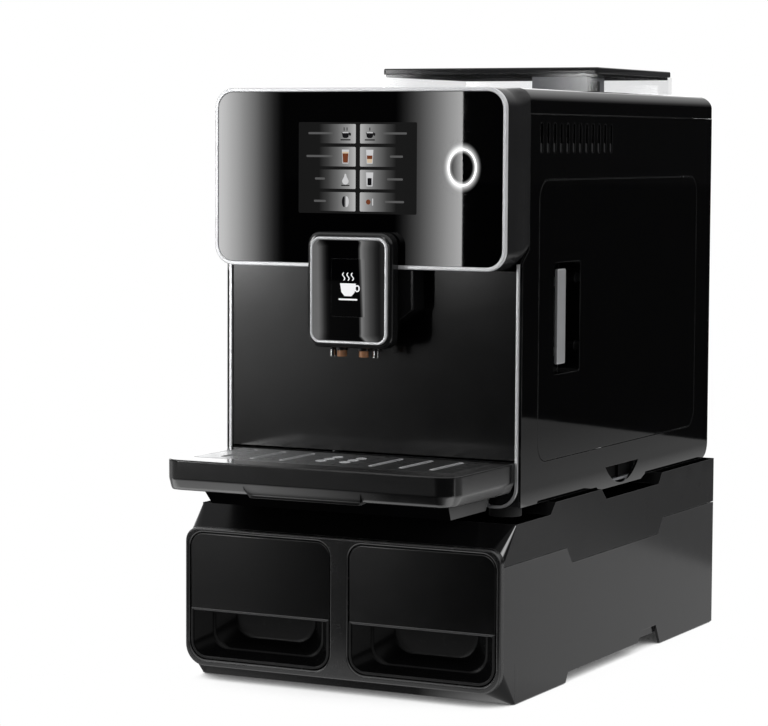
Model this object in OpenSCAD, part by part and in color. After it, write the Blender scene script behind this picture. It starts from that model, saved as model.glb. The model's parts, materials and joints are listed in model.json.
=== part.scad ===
// Hot coffee vending machine: bean-to-cup brewer on a two-drawer base cabinet.
// Millimetres, +Z up, the front faces -Y, +X is the viewer's right when facing the front.
// Modules are laid out with y = 0 on the front plane of the casing and z = 0 on the floor,
// then moved by y_ref so that the origin is the centre of the footprint.

/* [Casing] */
// Outer width of the brewer casing
body_w = 302; // [298:1:306]
// Depth of the casing from the splash panel to the rear
body_d = 472; // [468:1:474]
// Height of the casing's underside above the floor
body_z = 172; // [172:0.5:173]
// Height of the top cover above the floor
top_z = 545; // [544:0.5:547]
// Sheet thickness of the side panels
skin = 2.5; // [2:0.1:2.6]
// Edge radius of the top cover
top_r = 13; // [8:1:14]

/* [Front head] */
// Width of the touch head
head_w = 294.8; // [290:0.1:295]
// Underside of the touch head above the floor
head_z0 = 383; // [383:0.5:384]
// Front plane of the touch head ahead of the casing
head_y = 29; // [29:0.5:31]
// Corner radius of the touch head
head_r = 19; // [14:1:22]
// Width of the silver rim
rim_w = 3.7; // [2.5:0.1:4]
// Width of the display window
disp_w = 121; // [110:1:124]
// Height of the display window
disp_h = 82; // [76:1:84]
// Outer radius of the illuminated ring
ring_r = 16.4; // [15:0.1:17]

/* [Spout] */
// Width of the sliding spout
spout_w = 86; // [84:1:88]
// Height of the sliding spout
spout_h = 104.3; // [100:0.1:104.3]
// Underside of the spout above the floor
spout_z0 = 311.5; // [311:0.5:313]
// Outer radius of a coffee nozzle
nozzle_r = 4.4; // [3.8:0.1:4.5]

/* [Drip tray] */
// Width of the drip tray
tray_w = 290.6; // [286:0.1:291]
// Reach of the drip tray ahead of the casing
tray_y = 127; // [124:1:130]
// Height of the tray's top face above the floor
tray_z = 212; // [211:0.5:212.5]
// Thickness of the tray's front edge
tray_t = 20; // [18:0.5:20]

/* [Base cabinet] */
// Outer width of the base cabinet
base_w = 320; // [318:1:324]
// Front plane of the base cabinet ahead of the casing
base_y = 61; // [61:1:63]
// Rear plane of the base cabinet
base_r = 468; // [466:1:470]
// Height of the front frame of the base
base_h = 142; // [141:0.5:143]

/* [Hopper] */
// Width of the bean hopper
hop_w = 235; // [225:1:236]
// Front wall of the bean hopper behind the splash panel
hop_y0 = 249; // [246:1:252]
// Rear wall of the bean hopper
hop_y1 = 443.5; // [440:0.5:446]
// Rim height of the bean hopper above the floor
hop_z = 563.8; // [560:0.1:566]

/* [Hidden] */
$fn = 64;
y_ref = -(body_d - tray_y) / 2;
body_x = body_w / 2;
inner_x = body_x - skin; // inner face of the side panels
gap = 0.1; // clearance between the side panels and the plates between them

// colours used by more than one node
gloss_black = [0.03, 0.03, 0.03];
glass_black = [0.01, 0.01, 0.012];
satin_black = [0.05, 0.05, 0.055];
frame_black = [0.06, 0.06, 0.065];
dark_grey = [0.2, 0.2, 0.21];
mid_grey = [0.3, 0.31, 0.33];
sheet_grey = [0.55, 0.56, 0.58];
screw_grey = [0.6, 0.6, 0.62];
steel = [0.75, 0.76, 0.78];
pale_silver = [0.85, 0.86, 0.88];

// ---------- shared shapes ----------
module placed() translate([0, y_ref, 0]) children();
// the children and their mirror image in x
module both_sides() {
  children();
  mirror([1, 0, 0]) children();
}
// rounded rectangle with true arcs, centred
module round_rect(w, h, r) {
  square([w - 2 * r, h], center = true);
  square([w, h - 2 * r], center = true);
  for (i = [-1, 1], j = [-1, 1]) translate([i * (w / 2 - r), j * (h / 2 - r)]) circle(r);
}
// the same with its own radii for the upper and the lower corners
module round_rect_2(w, h, r_top, r_low) {
  translate([-w / 2, -h / 2 + r_low]) square([w, h - r_low - r_top]);
  translate([-w / 2 + r_low, -h / 2]) square([w - 2 * r_low, h / 2]);
  translate([-w / 2 + r_top, 0]) square([w - 2 * r_top, h / 2]);
  for (i = [-1, 1]) {
    translate([i * (w / 2 - r_low), -h / 2 + r_low]) circle(r_low);
    translate([i * (w / 2 - r_top), h / 2 - r_top]) circle(r_top);
  }
}
// plate standing across the machine, its 2D shape in x and z
module across(y0, y1)
  translate([0, y1, 0]) rotate([90, 0, 0]) linear_extrude(y1 - y0) children();
// plate standing along the machine, its 2D shape in y and z
module along(x0, x1)
  translate([x0, 0, 0]) rotate([90, 0, 90]) linear_extrude(x1 - x0) children();
module box(x0, x1, y0, y1, z0, z1) translate([x0, y0, z0]) cube([x1 - x0, y1 - y0, z1 - z0]);
// cylinders along z, y and x
module rod_z(x, y, z0, z1, r) translate([x, y, z0]) cylinder(h = z1 - z0, r = r);
module rod_y(x, z, y0, y1, r)
  translate([x, y1, z]) rotate([90, 0, 0]) cylinder(h = y1 - y0, r = r);
module rod_x(y, z, x0, x1, r)
  translate([x0, y, z]) rotate([0, 90, 0]) cylinder(h = x1 - x0, r = r);
// upright cylinders at -x and +x
module rod_pair(x, y, z0, z1, r) for (s = [-1, 1]) rod_z(s * x, y, z0, z1, r);
// opening for spent grounds, and with an inset the duct that runs through it
module grounds_hole(z0, z1, inset = 0)
  box(58 + inset, 118 - inset, 98 + inset, 152 - inset, z0, z1);

// ---------- base cabinet ----------
base_x = base_w / 2;
base_t = 3; // wall thickness
base_in_x = base_x - base_t;
base_in_y = base_r - base_t;
frame_z0 = 13.5; // lower edge of the front frame
frame_y1 = -base_y + 7; // plane just behind the front frame
bay_x = 82.25; // centre of a drawer bay
bay_z = 78.75;
drawer_y = -23.8; // front of a drawer box
grip_z = 66; // top of the finger pocket
foot_x = 125; // feet of the brewer
foot_y = 435; // rear feet, brewer and base

// [y, z] outline of a side plate
base_side_points = [
  [frame_y1, 1], [base_r, 1], [base_r, 126], [326, 126],
  [313, 111], [97, 111], [85, 126], [frame_y1, 126]];
// [y, z] lifting notch in the lower edge of a side plate
lift_notch_points = [[84, 0], [90, 10], [262, 10], [272, 20.5], [310, 20.5], [322, 0]];
// [y, z] outline of the top frame
top_frame_points = [
  [-base_y + 7.2, 145.6], [-29, 161], [47, 161], [58, 171.5], [166, 171.5], [178, 161],
  [313, 161], [322, 171.5], [base_r, 171.5], [base_r, 126.6], [325.9, 126.6],
  [312.9, 111.6], [97.1, 111.6], [85.1, 126.6], [-base_y + 7.2, 126.6]];
// [y, z] hollow below the top frame
top_hollow_points = [[-50, 90], [-50, 138], [-23, 156], [base_in_y, 156], [base_in_y, 90]];

module frame_outline()
  translate([0, (frame_z0 + base_h) / 2]) round_rect_2(base_w, base_h - frame_z0, 13, 20);
module bay_opening(side) translate([side * bay_x, bay_z]) round_rect_2(146.5, 118.3, 14, 17);
// the rounded front outline runs out into square edges further back
module front_run() {
  hull() {
    across(frame_y1 - 0.1, frame_y1) frame_outline();
    across(-29.1, -29) translate([0, 80.6]) round_rect_2(base_w, 160.8, 2.3, 2.3);
  }
  box(-170, 170, -29.05, 480, -5, 190);
}
module base_cabinet() color(frame_black) placed() intersection() {
  front_run();
  union() {
    both_sides() along(base_in_x, base_x) difference() {
      polygon(base_side_points);
      polygon(lift_notch_points);
    }
    // rear wall and floor
    box(-base_in_x, base_in_x, base_in_y, base_r, 1, 126);
    box(-base_in_x, base_in_x, frame_y1, base_in_y, 13, 16);
    // sloping toe under the front
    box(-base_x, base_x, frame_y1, -21, 0.8, 13.1);
    // wall between the bays
    box(-3, 3, frame_y1, base_in_y, 16, 110);
    // ribs that carry the drawers
    for (s = [-1, 1], x = [33, 131]) box(s * x - 3, s * x + 3, -23.6, 455, 15.9, 24.3);
    // closes the lifting notches in the side plates
    both_sides() box(153.3, base_x - 2.9, 256, 330, 13.1, 24);
    // solid lower corners behind the rounded front
    for (s = [-1, 1]) across(frame_y1, -24) difference() {
      translate([s * 152.3, 19]) square([15.6, 34], center = true);
      bay_opening(s);
    }
  }
}
module base_front_frame() color([0.08, 0.08, 0.085]) placed()
  across(-base_y, -base_y + 6.8) difference() {
    frame_outline();
    for (s = [-1, 1]) bay_opening(s);
  }
module base_top_frame() color([0.07, 0.07, 0.075]) placed() {
  // cups that locate the rear machine feet
  difference() {
    rod_pair(foot_x, foot_y, 157.9, 168.6, 22);
    rod_pair(foot_x, foot_y, 161, 180, 19);
  }
  difference() {
    intersection() {
      front_run();
      along(-base_x, base_x) polygon(top_frame_points);
    }
    along(-base_x + 5, base_x - 5) polygon(top_hollow_points);
    // hollows under the two raised parts
    box(-base_in_x, base_in_x, 62, 162, 157, 168.5);
    box(-base_in_x, base_in_x, 326, base_in_y, 157, 168.5);
    rod_pair(foot_x, foot_y, 150, 180, 19);
    grounds_hole(150, 180);
  }
}
module rubber_feet() color([0.12, 0.12, 0.12]) placed() {
  // under the base
  for (y = [-6, foot_y]) rod_pair(132, y, 0, 12.9, 12);
  // between the brewer and the base
  for (y = [24, foot_y]) rod_pair(foot_x, y, 161.1, body_z + 0.4, 15);
}

// one drawer, drawn for the right-hand bay
module drawer_outline(inset = 0) translate([bay_x, bay_z])
  round_rect_2(145 - 2 * inset, 116.8 - 2 * inset, 13.3 - inset, 16.3 - inset);
module drawer_front_shape() {
  // upper panel
  across(-base_y + 0.8, -base_y + 4.8) intersection() {
    drawer_outline();
    translate([0, grip_z]) square([200, 80]);
  }
  // finger pocket under the panel
  difference() {
    across(-base_y + 0.8, -24) intersection() {
      drawer_outline();
      square([200, grip_z + 3]);
    }
    across(-base_y - 5, -27) intersection() {
      drawer_outline(2.7);
      square([200, grip_z]);
    }
  }
}
module drawer_box_shape() difference() {
  across(drawer_y, 420) translate([bay_x, 71.25]) round_rect_2(140.5, 93.5, 1, 9);
  across(drawer_y + 2.5, 417.5) translate([bay_x, 78.5]) round_rect_2(135.5, 103, 1, 7);
}
module left_drawer_front() color(satin_black) placed() mirror([1, 0, 0]) drawer_front_shape();
module left_drawer_box() color(dark_grey) placed() mirror([1, 0, 0]) drawer_box_shape();
module right_drawer_front() color(satin_black) placed() drawer_front_shape();
module right_drawer_box() color(dark_grey) placed() drawer_box_shape();

// ---------- casing ----------
seam_y = 14.2; // front edge of the top cover and of the upper side panels
cover_z = 522; // lower edge of the top cover
rear_low_r = 16; // lower rear corner of the side panels
screw_x = [-138, 138];
screw_z = [184, 300, 410, 512];
vent_count = 12;
vent_pitch = 14.74;
vent_y0 = 38.9;
splash_x = 145.2; // half width of the backsplash
strip_w = 3; // width of a trim strip
door_y = 233; // centre of the service door
door_z = 336;
door_w = 394;
door_h = 254;
door_r = 18;

module bottom_plate() color([0.5, 0.51, 0.53]) placed() difference() {
  box(-inner_x + gap, inner_x - gap, 4.2, body_d - 6, body_z + 0.5, body_z + 3);
  grounds_hole(160, 180);
  for (x = [-110 : 20 : -30], y = [250, 300, 350]) box(x, x + 8, y, y + 34, 160, 180);
}
module side_outline() {
  polygon([
    [0, body_z], [body_d - rear_low_r, body_z], [body_d, body_z + rear_low_r],
    [body_d, cover_z - 0.2], [seam_y, cover_z - 0.2], [seam_y, 402], [0, 390]]);
  translate([body_d - rear_low_r, body_z + rear_low_r]) circle(rear_low_r);
  // shallow tab below the lower edge
  polygon([
    [174, body_z + 0.1], [181, body_z - 3.6], [287, body_z - 3.6], [297, body_z + 0.1]]);
}
module left_side_panel() color(gloss_black) placed() along(-body_x, -inner_x) side_outline();
module right_side_panel() color(gloss_black) placed() along(inner_x, body_x) difference() {
  side_outline();
  // service door opening, its gap slightly wider at the rear edge
  translate([door_y + 0.2, door_z]) round_rect(door_w + 2, door_h + 1.6, door_r);
  for (i = [0 : vent_count - 1])
    translate([vent_y0 + i * vent_pitch, 500.8]) round_rect(6, 27.4, 2.9);
  // finger scoop in the lower edge
  intersection() {
    translate([238, 228.2]) circle(57.8);
    translate([160, 160]) square([154, 28.6]);
  }
}
module rear_panel() color([0.1, 0.1, 0.105]) placed() difference() {
  across(body_d - 5.5, body_d - 3) translate([0, (body_z + 4 + cover_z - 0.4) / 2])
    square([2 * inner_x - 0.4, cover_z - 0.4 - body_z - 4], center = true);
  // cooling slots in two columns
  for (i = [-4 : 4], k = [0, 1])
    box(30 + k * 45, 68 + k * 45, body_d - 10, body_d, 345 + i * 9, 349.4 + i * 9);
  // appliance inlet with its rocker switch
  box(-119, -60.9, body_d - 10, body_d, 196.9, 225.1);
  for (x = screw_x, z = screw_z) rod_y(x, z, body_d - 10, body_d, 1.8);
}
module rear_screws() color(screw_grey) placed() for (x = screw_x, z = screw_z) {
  rod_y(x, z, body_d - 3, body_d - 0.6, 3.6);
  rod_y(x, z, body_d - 14, body_d - 3, 1.7);
}
module cover_section(inset) intersection() {
  // rounded on both sides
  across(seam_y + inset, body_d - inset) union() {
    translate([-body_x + inset, 500]) square([body_w - 2 * inset, top_z - top_r - 500]);
    translate([-body_x + top_r, 500]) square([body_w - 2 * top_r, top_z - inset - 500]);
    for (s = [-1, 1]) translate([s * (body_x - top_r), top_z - top_r]) circle(top_r - inset);
  }
  // rounded at the rear
  along(-body_x, body_x) union() {
    translate([seam_y + inset, 500])
      square([body_d - seam_y - inset - top_r, top_z - inset - 500]);
    translate([seam_y + inset, 500])
      square([body_d - seam_y - 2 * inset, top_z - top_r - 500]);
    translate([body_d - top_r, top_z - top_r]) circle(top_r - inset);
  }
}
module top_cover() color(gloss_black) placed() difference() {
  intersection() {
    cover_section(0);
    box(-200, 200, 0, 600, cover_z, 600);
  }
  difference() {
    cover_section(2.8);
    box(-200, 200, 0, 600, 480, 499);
  }
  hopper_box(-0.8, 500, 600);
}
module front_lower_panel() color([0.04, 0.04, 0.04]) placed() across(1.6, 4) difference() {
  translate([-inner_x + gap, body_z + 0.2])
    square([2 * (inner_x - gap), tray_z - 0.4 - body_z]);
  translate([-116, body_z + 3.2]) square([232, tray_z - body_z - 7]);
}
module backsplash() color([0.02, 0.02, 0.02]) placed() difference() {
  box(-splash_x, splash_x, 0.5, 3.5, tray_z + 1.5, head_z0 - 0.2);
  // feed-through for the drink hoses
  box(-16, 16, -5, 10, 360, 376);
}
module strip_ring(x, z, r) translate([x, z]) difference() {
  circle(r);
  circle(r - strip_w);
}
// right-hand strip: straight run, bottom corner and the short return beside the pan
module strip_path() {
  translate([splash_x, 190]) square([strip_w, 199]);
  intersection() {
    strip_ring(128.2, 190, 20);
    translate([128.2, 165]) square([30, 25]);
  }
  translate([122, 170]) square([6.2, strip_w]);
  intersection() {
    strip_ring(122, 176, 6);
    translate([110, 165]) square([12, 11]);
  }
  translate([116, 176]) square([strip_w, 5]);
}
module trim_strips() color([0.8, 0.81, 0.83]) placed()
  across(-1.4, 1.5) both_sides() strip_path();

// ---------- touch head ----------
head_h = top_z - head_z0;
head_mid_z = (head_z0 + top_z) / 2;
disp_z = 473; // centre of the display
ring_x = 104.7; // centre of the ring light
ring_z = 474.3;
ring_w = 2.8;

module head_outline(inset = 0) translate([0, head_mid_z])
  round_rect(head_w - 2 * inset, head_h - 2 * inset, head_r - inset);
module head_shell() color(satin_black) placed() difference() {
  across(-head_y + 4, 14) head_outline();
  across(-head_y - 5, 20) head_outline(3);
  // slot for the spout carriage
  box(-18, 18, -24, -2, head_z0 - 10, head_z0 + 10);
}
module head_bezel() color([0.82, 0.83, 0.85]) placed()
  across(-head_y, -head_y + 3.9) difference() {
    head_outline();
    head_outline(rim_w);
  }
module head_glass() color(glass_black) placed() difference() {
  across(-head_y + 0.5, -head_y + 3.5) head_outline(rim_w + 0.1);
  rod_y(ring_x, ring_z, -head_y - 5, -10, ring_r + 0.1);
}
module display_module() color([0.1, 0.12, 0.14]) placed()
  box(-disp_w / 2, disp_w / 2, -head_y + 3.6, -head_y + 8,
    disp_z - disp_h / 2, disp_z + disp_h / 2);
module ring_light() color([1, 1, 1]) placed() difference() {
  rod_y(ring_x, ring_z, -head_y + 0.3, -head_y + 5, ring_r);
  rod_y(ring_x, ring_z, -head_y - 5, 0, ring_r - ring_w);
}
module power_button() color([0.02, 0.02, 0.02]) placed()
  rod_y(ring_x, ring_z, -head_y + 0.5, -head_y + 6.4, ring_r - ring_w - 0.06);
module control_board() color([0.05, 0.3, 0.14]) placed() {
  box(-136, -70, -16, -14.4, 398, 528);
  // components on the rear face
  for (z = [412, 446, 480]) box(-124, -100, -14.4, -8, z, z + 20);
  for (z = [405, 440, 475, 508]) rod_y(-84, z, -14.4, -4, 5);
  // standoffs on the front face
  for (x = [-132, -74], z = [402, 524]) rod_y(x, z, -25.4, -16, 2.4);
}

// ---------- sliding spout ----------
spout_mid_z = spout_z0 + spout_h / 2;
spout_low_z = 300; // start of the nozzle holes
coffee_x = 11; // coffee nozzles
coffee_y = -35;
milk_x = 21.7; // milk nozzles
milk_y = -32;
milk_r = 3;

module guide_pair(z0, z1, r) rod_pair(22, -6, z0, z1, r);
module spout_outline(inset = 0) translate([0, spout_mid_z])
  round_rect(spout_w - 2 * inset, spout_h - 2 * inset, 12 - inset);
module spout_face(inset = 0)
  translate([0, 363.5]) round_rect(78.8 - 2 * inset, 97 - 2 * inset, 10.5 - inset);
module spout_housing() color([0.04, 0.04, 0.04]) placed() difference() {
  across(-22, 0.4) polygon([
    [-54, head_z0 - 0.2], [54, head_z0 - 0.2], [54, 347], [20, 324], [-20, 324], [-54, 347]]);
  // carriage channel and hose feed-through
  box(-17.6, 17.6, -30, -3, 310, 400);
  box(-12, 12, -5, 10, 360, 376);
}
module guide_rods() color([0.7, 0.71, 0.73]) placed() guide_pair(387, 528, 4);
module guide_brackets() color([0.45, 0.46, 0.48]) placed() difference() {
  union() {
    box(-32, 32, -13, 4, 386.2, 392);
    box(-32, 32, -13, 4, 522, 528);
  }
  guide_pair(380, 540, 4.03);
}
module spout_carriage() color(mid_grey) placed() difference() {
  union() {
    box(-15, 15, -22.4, -15.2, 330, 366);
    box(-15, 15, -20, -15.2, 366, 502);
    box(-32, 32, -15.2, 3, 480, 502);
  }
  guide_pair(470, 510, 4.06);
}
module spout_shell() color(gloss_black) placed() difference() {
  union() {
    across(-43, -head_y - 1.4) spout_outline();
    box(-34, 34, -31, -22.5, 316, 371);
  }
  across(-50, -33) spout_outline(2.5);
  box(-31.5, 31.5, -34, -25, 318.5, 368.5);
  rod_pair(coffee_x, coffee_y, spout_low_z, 320, nozzle_r + 0.03);
  rod_pair(milk_x, milk_y, spout_low_z, 320, milk_r + 0.03);
}
module spout_rim() color(pale_silver) placed() across(-45.2, -42) difference() {
  spout_face();
  spout_face(3.1);
}
module spout_glass() color(glass_black) placed() across(-44.7, -42.2) spout_face(3.2);
module spout_display() color([0.12, 0.14, 0.16]) placed() box(-17, 17, -42.1, -39, 340, 392);
module nozzle_pair(x, y, z0, z1, r, wall) difference() {
  rod_pair(x, y, z0, z1, r);
  rod_pair(x, y, z0 - 5, z1 + 5, r - wall);
}
module coffee_nozzles() color([0.45, 0.28, 0.18]) placed()
  nozzle_pair(coffee_x, coffee_y, 303.5, 336, nozzle_r, 1.1);
module milk_nozzles() color([0.78, 0.79, 0.8]) placed()
  nozzle_pair(milk_x, milk_y, 303, 336, milk_r, 0.8);

// ---------- drip tray ----------
tray_r = 18.6; // front corner radius
tray_back = 2; // rear edge of the tray ahead of the casing
slot_pitch = 29;
slot_y = -54.5; // middle of the grid

module tray_outline(inset) {
  half_w = tray_w / 2 - inset;
  r = tray_r - inset;
  translate([-half_w, -tray_y + tray_r])
    square([2 * half_w, tray_y - tray_r - tray_back - inset]);
  translate([-half_w + r, -tray_y + inset])
    square([2 * (half_w - r), tray_y - tray_back - 2 * inset]);
  for (s = [-1, 1]) translate([s * (tray_w / 2 - tray_r), -tray_y + tray_r]) circle(r);
}
// the recess that holds the grid
module tray_recess(inset, z0, z1)
  box(-128 + inset, 128 - inset, -99 + inset, -10 - inset, z0, z1);
module tray_frame() color(frame_black) placed() {
  difference() {
    translate([0, 0, tray_z - tray_t]) linear_extrude(tray_t) tray_outline(0);
    translate([0, 0, tray_z - tray_t - 1]) linear_extrude(tray_t - 3) tray_outline(2.8);
    tray_recess(0, tray_z - 1.8, tray_z + 3.2);
    tray_recess(4, tray_z - 30, tray_z + 10);
    // the pan's rear channel passes below the rear edge
    box(-112.6, 112.6, -8, 2, tray_z - 30, tray_z - 4.4);
  }
  // lip below the front edge
  box(-61.5, 55.5, -tray_y + 0.4, -tray_y + 6, tray_z - 30, tray_z - tray_t);
}
module drip_pan() color([0.09, 0.09, 0.095]) placed() difference() {
  union() {
    hull() {
      box(-125, 125, -97, -5, 190.9, 191.9);
      box(-120.5, 120.5, -80, -8, 168.2, 169.2);
    }
    // rear channel
    box(-112, 112, -9, 84, 178, 206);
  }
  hull() {
    box(-122.5, 122.5, -94.5, -7.5, 191, 193);
    box(-118, 118, -77.5, -10.5, 170.7, 171);
  }
  box(-109.6, 109.6, -12, 81.6, 180.4, 210);
}
module drip_grid() color(steel) placed() difference() {
  tray_recess(0.3, tray_z - 1.7, tray_z + 0.1);
  for (i = [-4 : 4])
    translate([i * slot_pitch, slot_y, tray_z - 5]) linear_extrude(10) round_rect(5, 66, 2.4);
  // two finger holes between the slots
  rod_pair(slot_pitch / 2, slot_y, tray_z - 5, tray_z + 5, 5);
}

// ---------- service door ----------
hinge_x = body_x - 6;
hinge_y = 404;

module door_panel() color(gloss_black) placed() difference() {
  union() {
    along(body_x - 2.8, body_x)
      translate([door_y, door_z]) round_rect(door_w, door_h, door_r);
    // hinge lugs
    for (z = [[443, 462.8], [209.4, 229]])
      box(hinge_x - 4, body_x - 2.6, hinge_y - 5, hinge_y + 5, z[0], z[1]);
    box(127, body_x - 2.6, 66.7, 132.8, 283.3, 390.7);
  }
  // recessed grip
  along(129, body_x + 5) translate([99.75, 337]) round_rect(60.5, 102, 3);
  for (z = [200, 440]) rod_z(hinge_x, hinge_y, z, z + 30, 2.06);
}
module door_handle_bar() color(steel) placed() {
  box(145.4, 150.4, 78, 98.6, 292.5, 383.5);
  for (z = [306, 370]) rod_x(88.7, z, 129, 145.5, 4);
}
module door_hinge_pins() color(screw_grey) placed()
  for (z = [201, 445]) rod_z(hinge_x, hinge_y, z, z + 26, 2);
module door_hinge_brackets() color([0.5, 0.5, 0.52]) placed() difference() {
  for (z = [201, 464.6]) box(hinge_x - 5, inner_x - gap, hinge_y - 6, 448, z, z + 6.4);
  for (z = [195, 460]) rod_z(hinge_x, hinge_y, z, z + 20, 2.03);
}

// ---------- bean hopper and grinder ----------
hop_t = 2.5; // wall of the hopper and of the lid's skirt
grind_x = 5; // grinder axis
grind_y = 330;
outlet_turn = -52; // direction of the outlet and the top of the chute

module hopper_box(inset, z0, z1)
  box(-hop_w / 2 + inset, hop_w / 2 - inset, hop_y0 + inset, hop_y1 - inset, z0, z1);
module grinder_rod(z0, z1, r) rod_z(grind_x, grind_y, z0, z1, r);
module grinder_cone(z, h, r1, r2)
  translate([grind_x, grind_y, z]) cylinder(h = h, r1 = r1, r2 = r2);
module bean_hopper() color([0.75, 0.77, 0.8, 0.5]) placed() difference() {
  union() {
    hopper_box(0, 528, hop_z);
    grinder_cone(509, 19, 29, 64);
    grinder_rod(502, 509.1, 29);
  }
  hopper_box(hop_t, 531, hop_z + 5);
  // funnel down to the grinder
  grinder_cone(512, 19.2, 25.9, 61);
  grinder_rod(495, 513, 26);
}
module powder_chute() color([0.35, 0.36, 0.38]) placed() difference() {
  box(46, 104, hop_y0 + 2.7, 296, 531.2, 560.5);
  box(49, 101, hop_y0 + 5.7, 293, 533.5, 570);
}
module hopper_lid() color([0.12, 0.12, 0.13]) placed() {
  box(-hop_w / 2 + 1, hop_w / 2 - 0.5, hop_y0 + 0.5, hop_y1 - 0.2, hop_z + 0.2, hop_z + 5.8);
  // skirt inside the hopper rim
  difference() {
    hopper_box(2.9, hop_z - 2.8, hop_z + 0.3);
    hopper_box(2.9 + hop_t, hop_z - 5, hop_z + 0.2);
  }
}
module grind_knob() color(dark_grey) placed() translate([109.5, 258.5, 0]) {
  translate([0, 0, 531.1]) cylinder(h = 14, r = 3.4);
  // ribbed grip
  translate([0, 0, 545]) linear_extrude(11)
    polygon([for (i = [0 : 35]) (i % 2 == 0 ? 5.2 : 4.5) * [cos(i * 10), sin(i * 10)]]);
}
module grinder_body() color([0.4, 0.41, 0.43]) placed() difference() {
  grinder_rod(440, 501.8, 42);
  grinder_rod(446, 505, 34);
  grinder_rod(430, 450, 8.2);
  // outlet towards the brewing unit
  translate([grind_x, grind_y, 446.2]) rotate([0, 0, outlet_turn])
    translate([20, -10, 0]) cube([40, 20, 16]);
}
module ring_burr() color([0.7, 0.7, 0.72]) placed() difference() {
  grinder_rod(468, 492, 33.8);
  grinder_cone(467.9, 24.2, 20.5, 26);
}
module cone_burr() color([0.62, 0.62, 0.64]) placed() {
  // grinding cone, disc and shaft
  grinder_cone(467.4, 24.6, 19.8, 12);
  grinder_rod(464, 467.5, 30);
  grinder_rod(420, 464.1, 8.14);
}
module grinder_motor() color([0.25, 0.26, 0.28]) placed() difference() {
  grinder_rod(350, 439.8, 37);
  grinder_rod(415, 445, 8.2);
}
// sloping run from the grinder outlet to the brewing chamber
module chute_run(top, end, narrow) hull() {
  translate([36, 290, top]) rotate([0, 0, outlet_turn])
    cube([26 - narrow, 26 - narrow, 16], center = true);
  translate([brew_x - 6, 232, end]) cube([26 - narrow, 20 - narrow, 8], center = true);
}
module coffee_chute() color(mid_grey) placed() difference() {
  chute_run(428, 348, 0);
  chute_run(437, 343, 6);
}

// ---------- brewing unit ----------
brew_x = 86; // axis of the chamber and piston
brew_y = 190;

module brew_rod(z0, z1, r) rod_z(brew_x, brew_y, z0, z1, r);
module brew_frame() color(sheet_grey) placed() difference() {
  union() {
    box(44, 47, 158, 249, body_z + 3.2, 440);
    box(44, 124, 158, 222, 218, 222);
    box(44, 124, 158, 222, 420, 426);
    // spent grounds duct, ahead of the chamber and below it
    grounds_hole(123, 216, 2);
    box(44, 60, 100, 158, 205, 218);
    box(44, 124, 150, 158, 205, 222);
  }
  grounds_hole(110, 230, 4.5);
  brew_rod(410, 430, 6.05);
}
module brew_chamber() color([0.7, 0.68, 0.6]) placed() difference() {
  union() {
    brew_rod(222.2, 330, 30);
    box(brew_x - 38, brew_x + 36, 170, 210, 222.2, 234);
  }
  brew_rod(240, 340, 22);
}
module brew_piston() color([0.3, 0.3, 0.32]) placed() {
  brew_rod(316, 336, 21.94);
  brew_rod(335.9, 492, 6);
}

// ---------- water side ----------
mount_x = -50.2; // right end of the parts beside the partition
boiler_x = -98;
boiler_y = 90;
pump_x = -96;
pump_z = 236;
hose_r = 4;
// [x, y, z] points along each hose
hose_routes = [
  // pump to boiler
  [[pump_x, 153, pump_z], [-96, 140, 215], [boiler_x, boiler_y, 199],
   [boiler_x, boiler_y, 205]],
  // boiler to brewing chamber, through the partition
  [[boiler_x, boiler_y, 397.2], [-90, 150, 430], [-60, 240, 430], [-30, 240, 430],
   [0, 150, 330], [brew_x, 146, 300], [brew_x, 154.8, 300]],
  // brewing chamber to the splash panel
  [[brew_x, 154.8, 262], [60, 70, 330], [0, 24, 368], [0, 10, 368]],
  // suction line to the floor coupling
  [[pump_x, 280.4, pump_z], [-96, 300, 226], [-70, 330, 183]]];

module inner_partition() color(sheet_grey) placed() difference() {
  union() {
    box(-50, -48, 20, 456, body_z + 3.2, 470);
    box(-70, -49, 20, 456, body_z + 3.2, body_z + 5.2);
    // grinder support arm
    box(-49, -32.6, 312, 348, 362, 420);
  }
  for (z = [230, 330, 430]) rod_x(240, z, -60, -40, 14);
  // room for the drip pan's rear channel
  box(-75, -45, 10, 90, 160, 209);
}
module boiler() color(steel) placed() {
  rod_z(boiler_x, boiler_y, 230, 380, 36);
  rod_z(boiler_x, boiler_y, 210, 230.1, 12);
  rod_z(boiler_x, boiler_y, 379.9, 392, 12);
  for (z = [250, 340]) box(-66, mount_x, 70, 110, z, z + 20);
}
module water_pump() color([0.3, 0.3, 0.32]) placed() {
  rod_y(pump_x, pump_z, 180, 250, 20);
  rod_y(pump_x, pump_z, 160, 275, 9);
  box(-80, mount_x, 200, 225, 226, 246);
}
module hose_joint(at) translate(at) sphere(r = hose_r * 1.2, $fn = 24);
module hose(from, to) {
  span = to - from;
  length = norm(span);
  translate(from) rotate([0, acos(span[2] / length), atan2(span[1], span[0])])
    cylinder(h = length, r = hose_r, $fn = 24);
  hose_joint(to);
}
module hoses() color(pale_silver) placed() for (route = hose_routes) {
  hose_joint(route[0]);
  for (i = [0 : len(route) - 2]) hose(route[i], route[i + 1]);
}

// ---------- power ----------
inlet_z = 211; // middle of the socket and the switch
rocker_x = -70;
pivot_y = body_d - 7;

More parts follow.
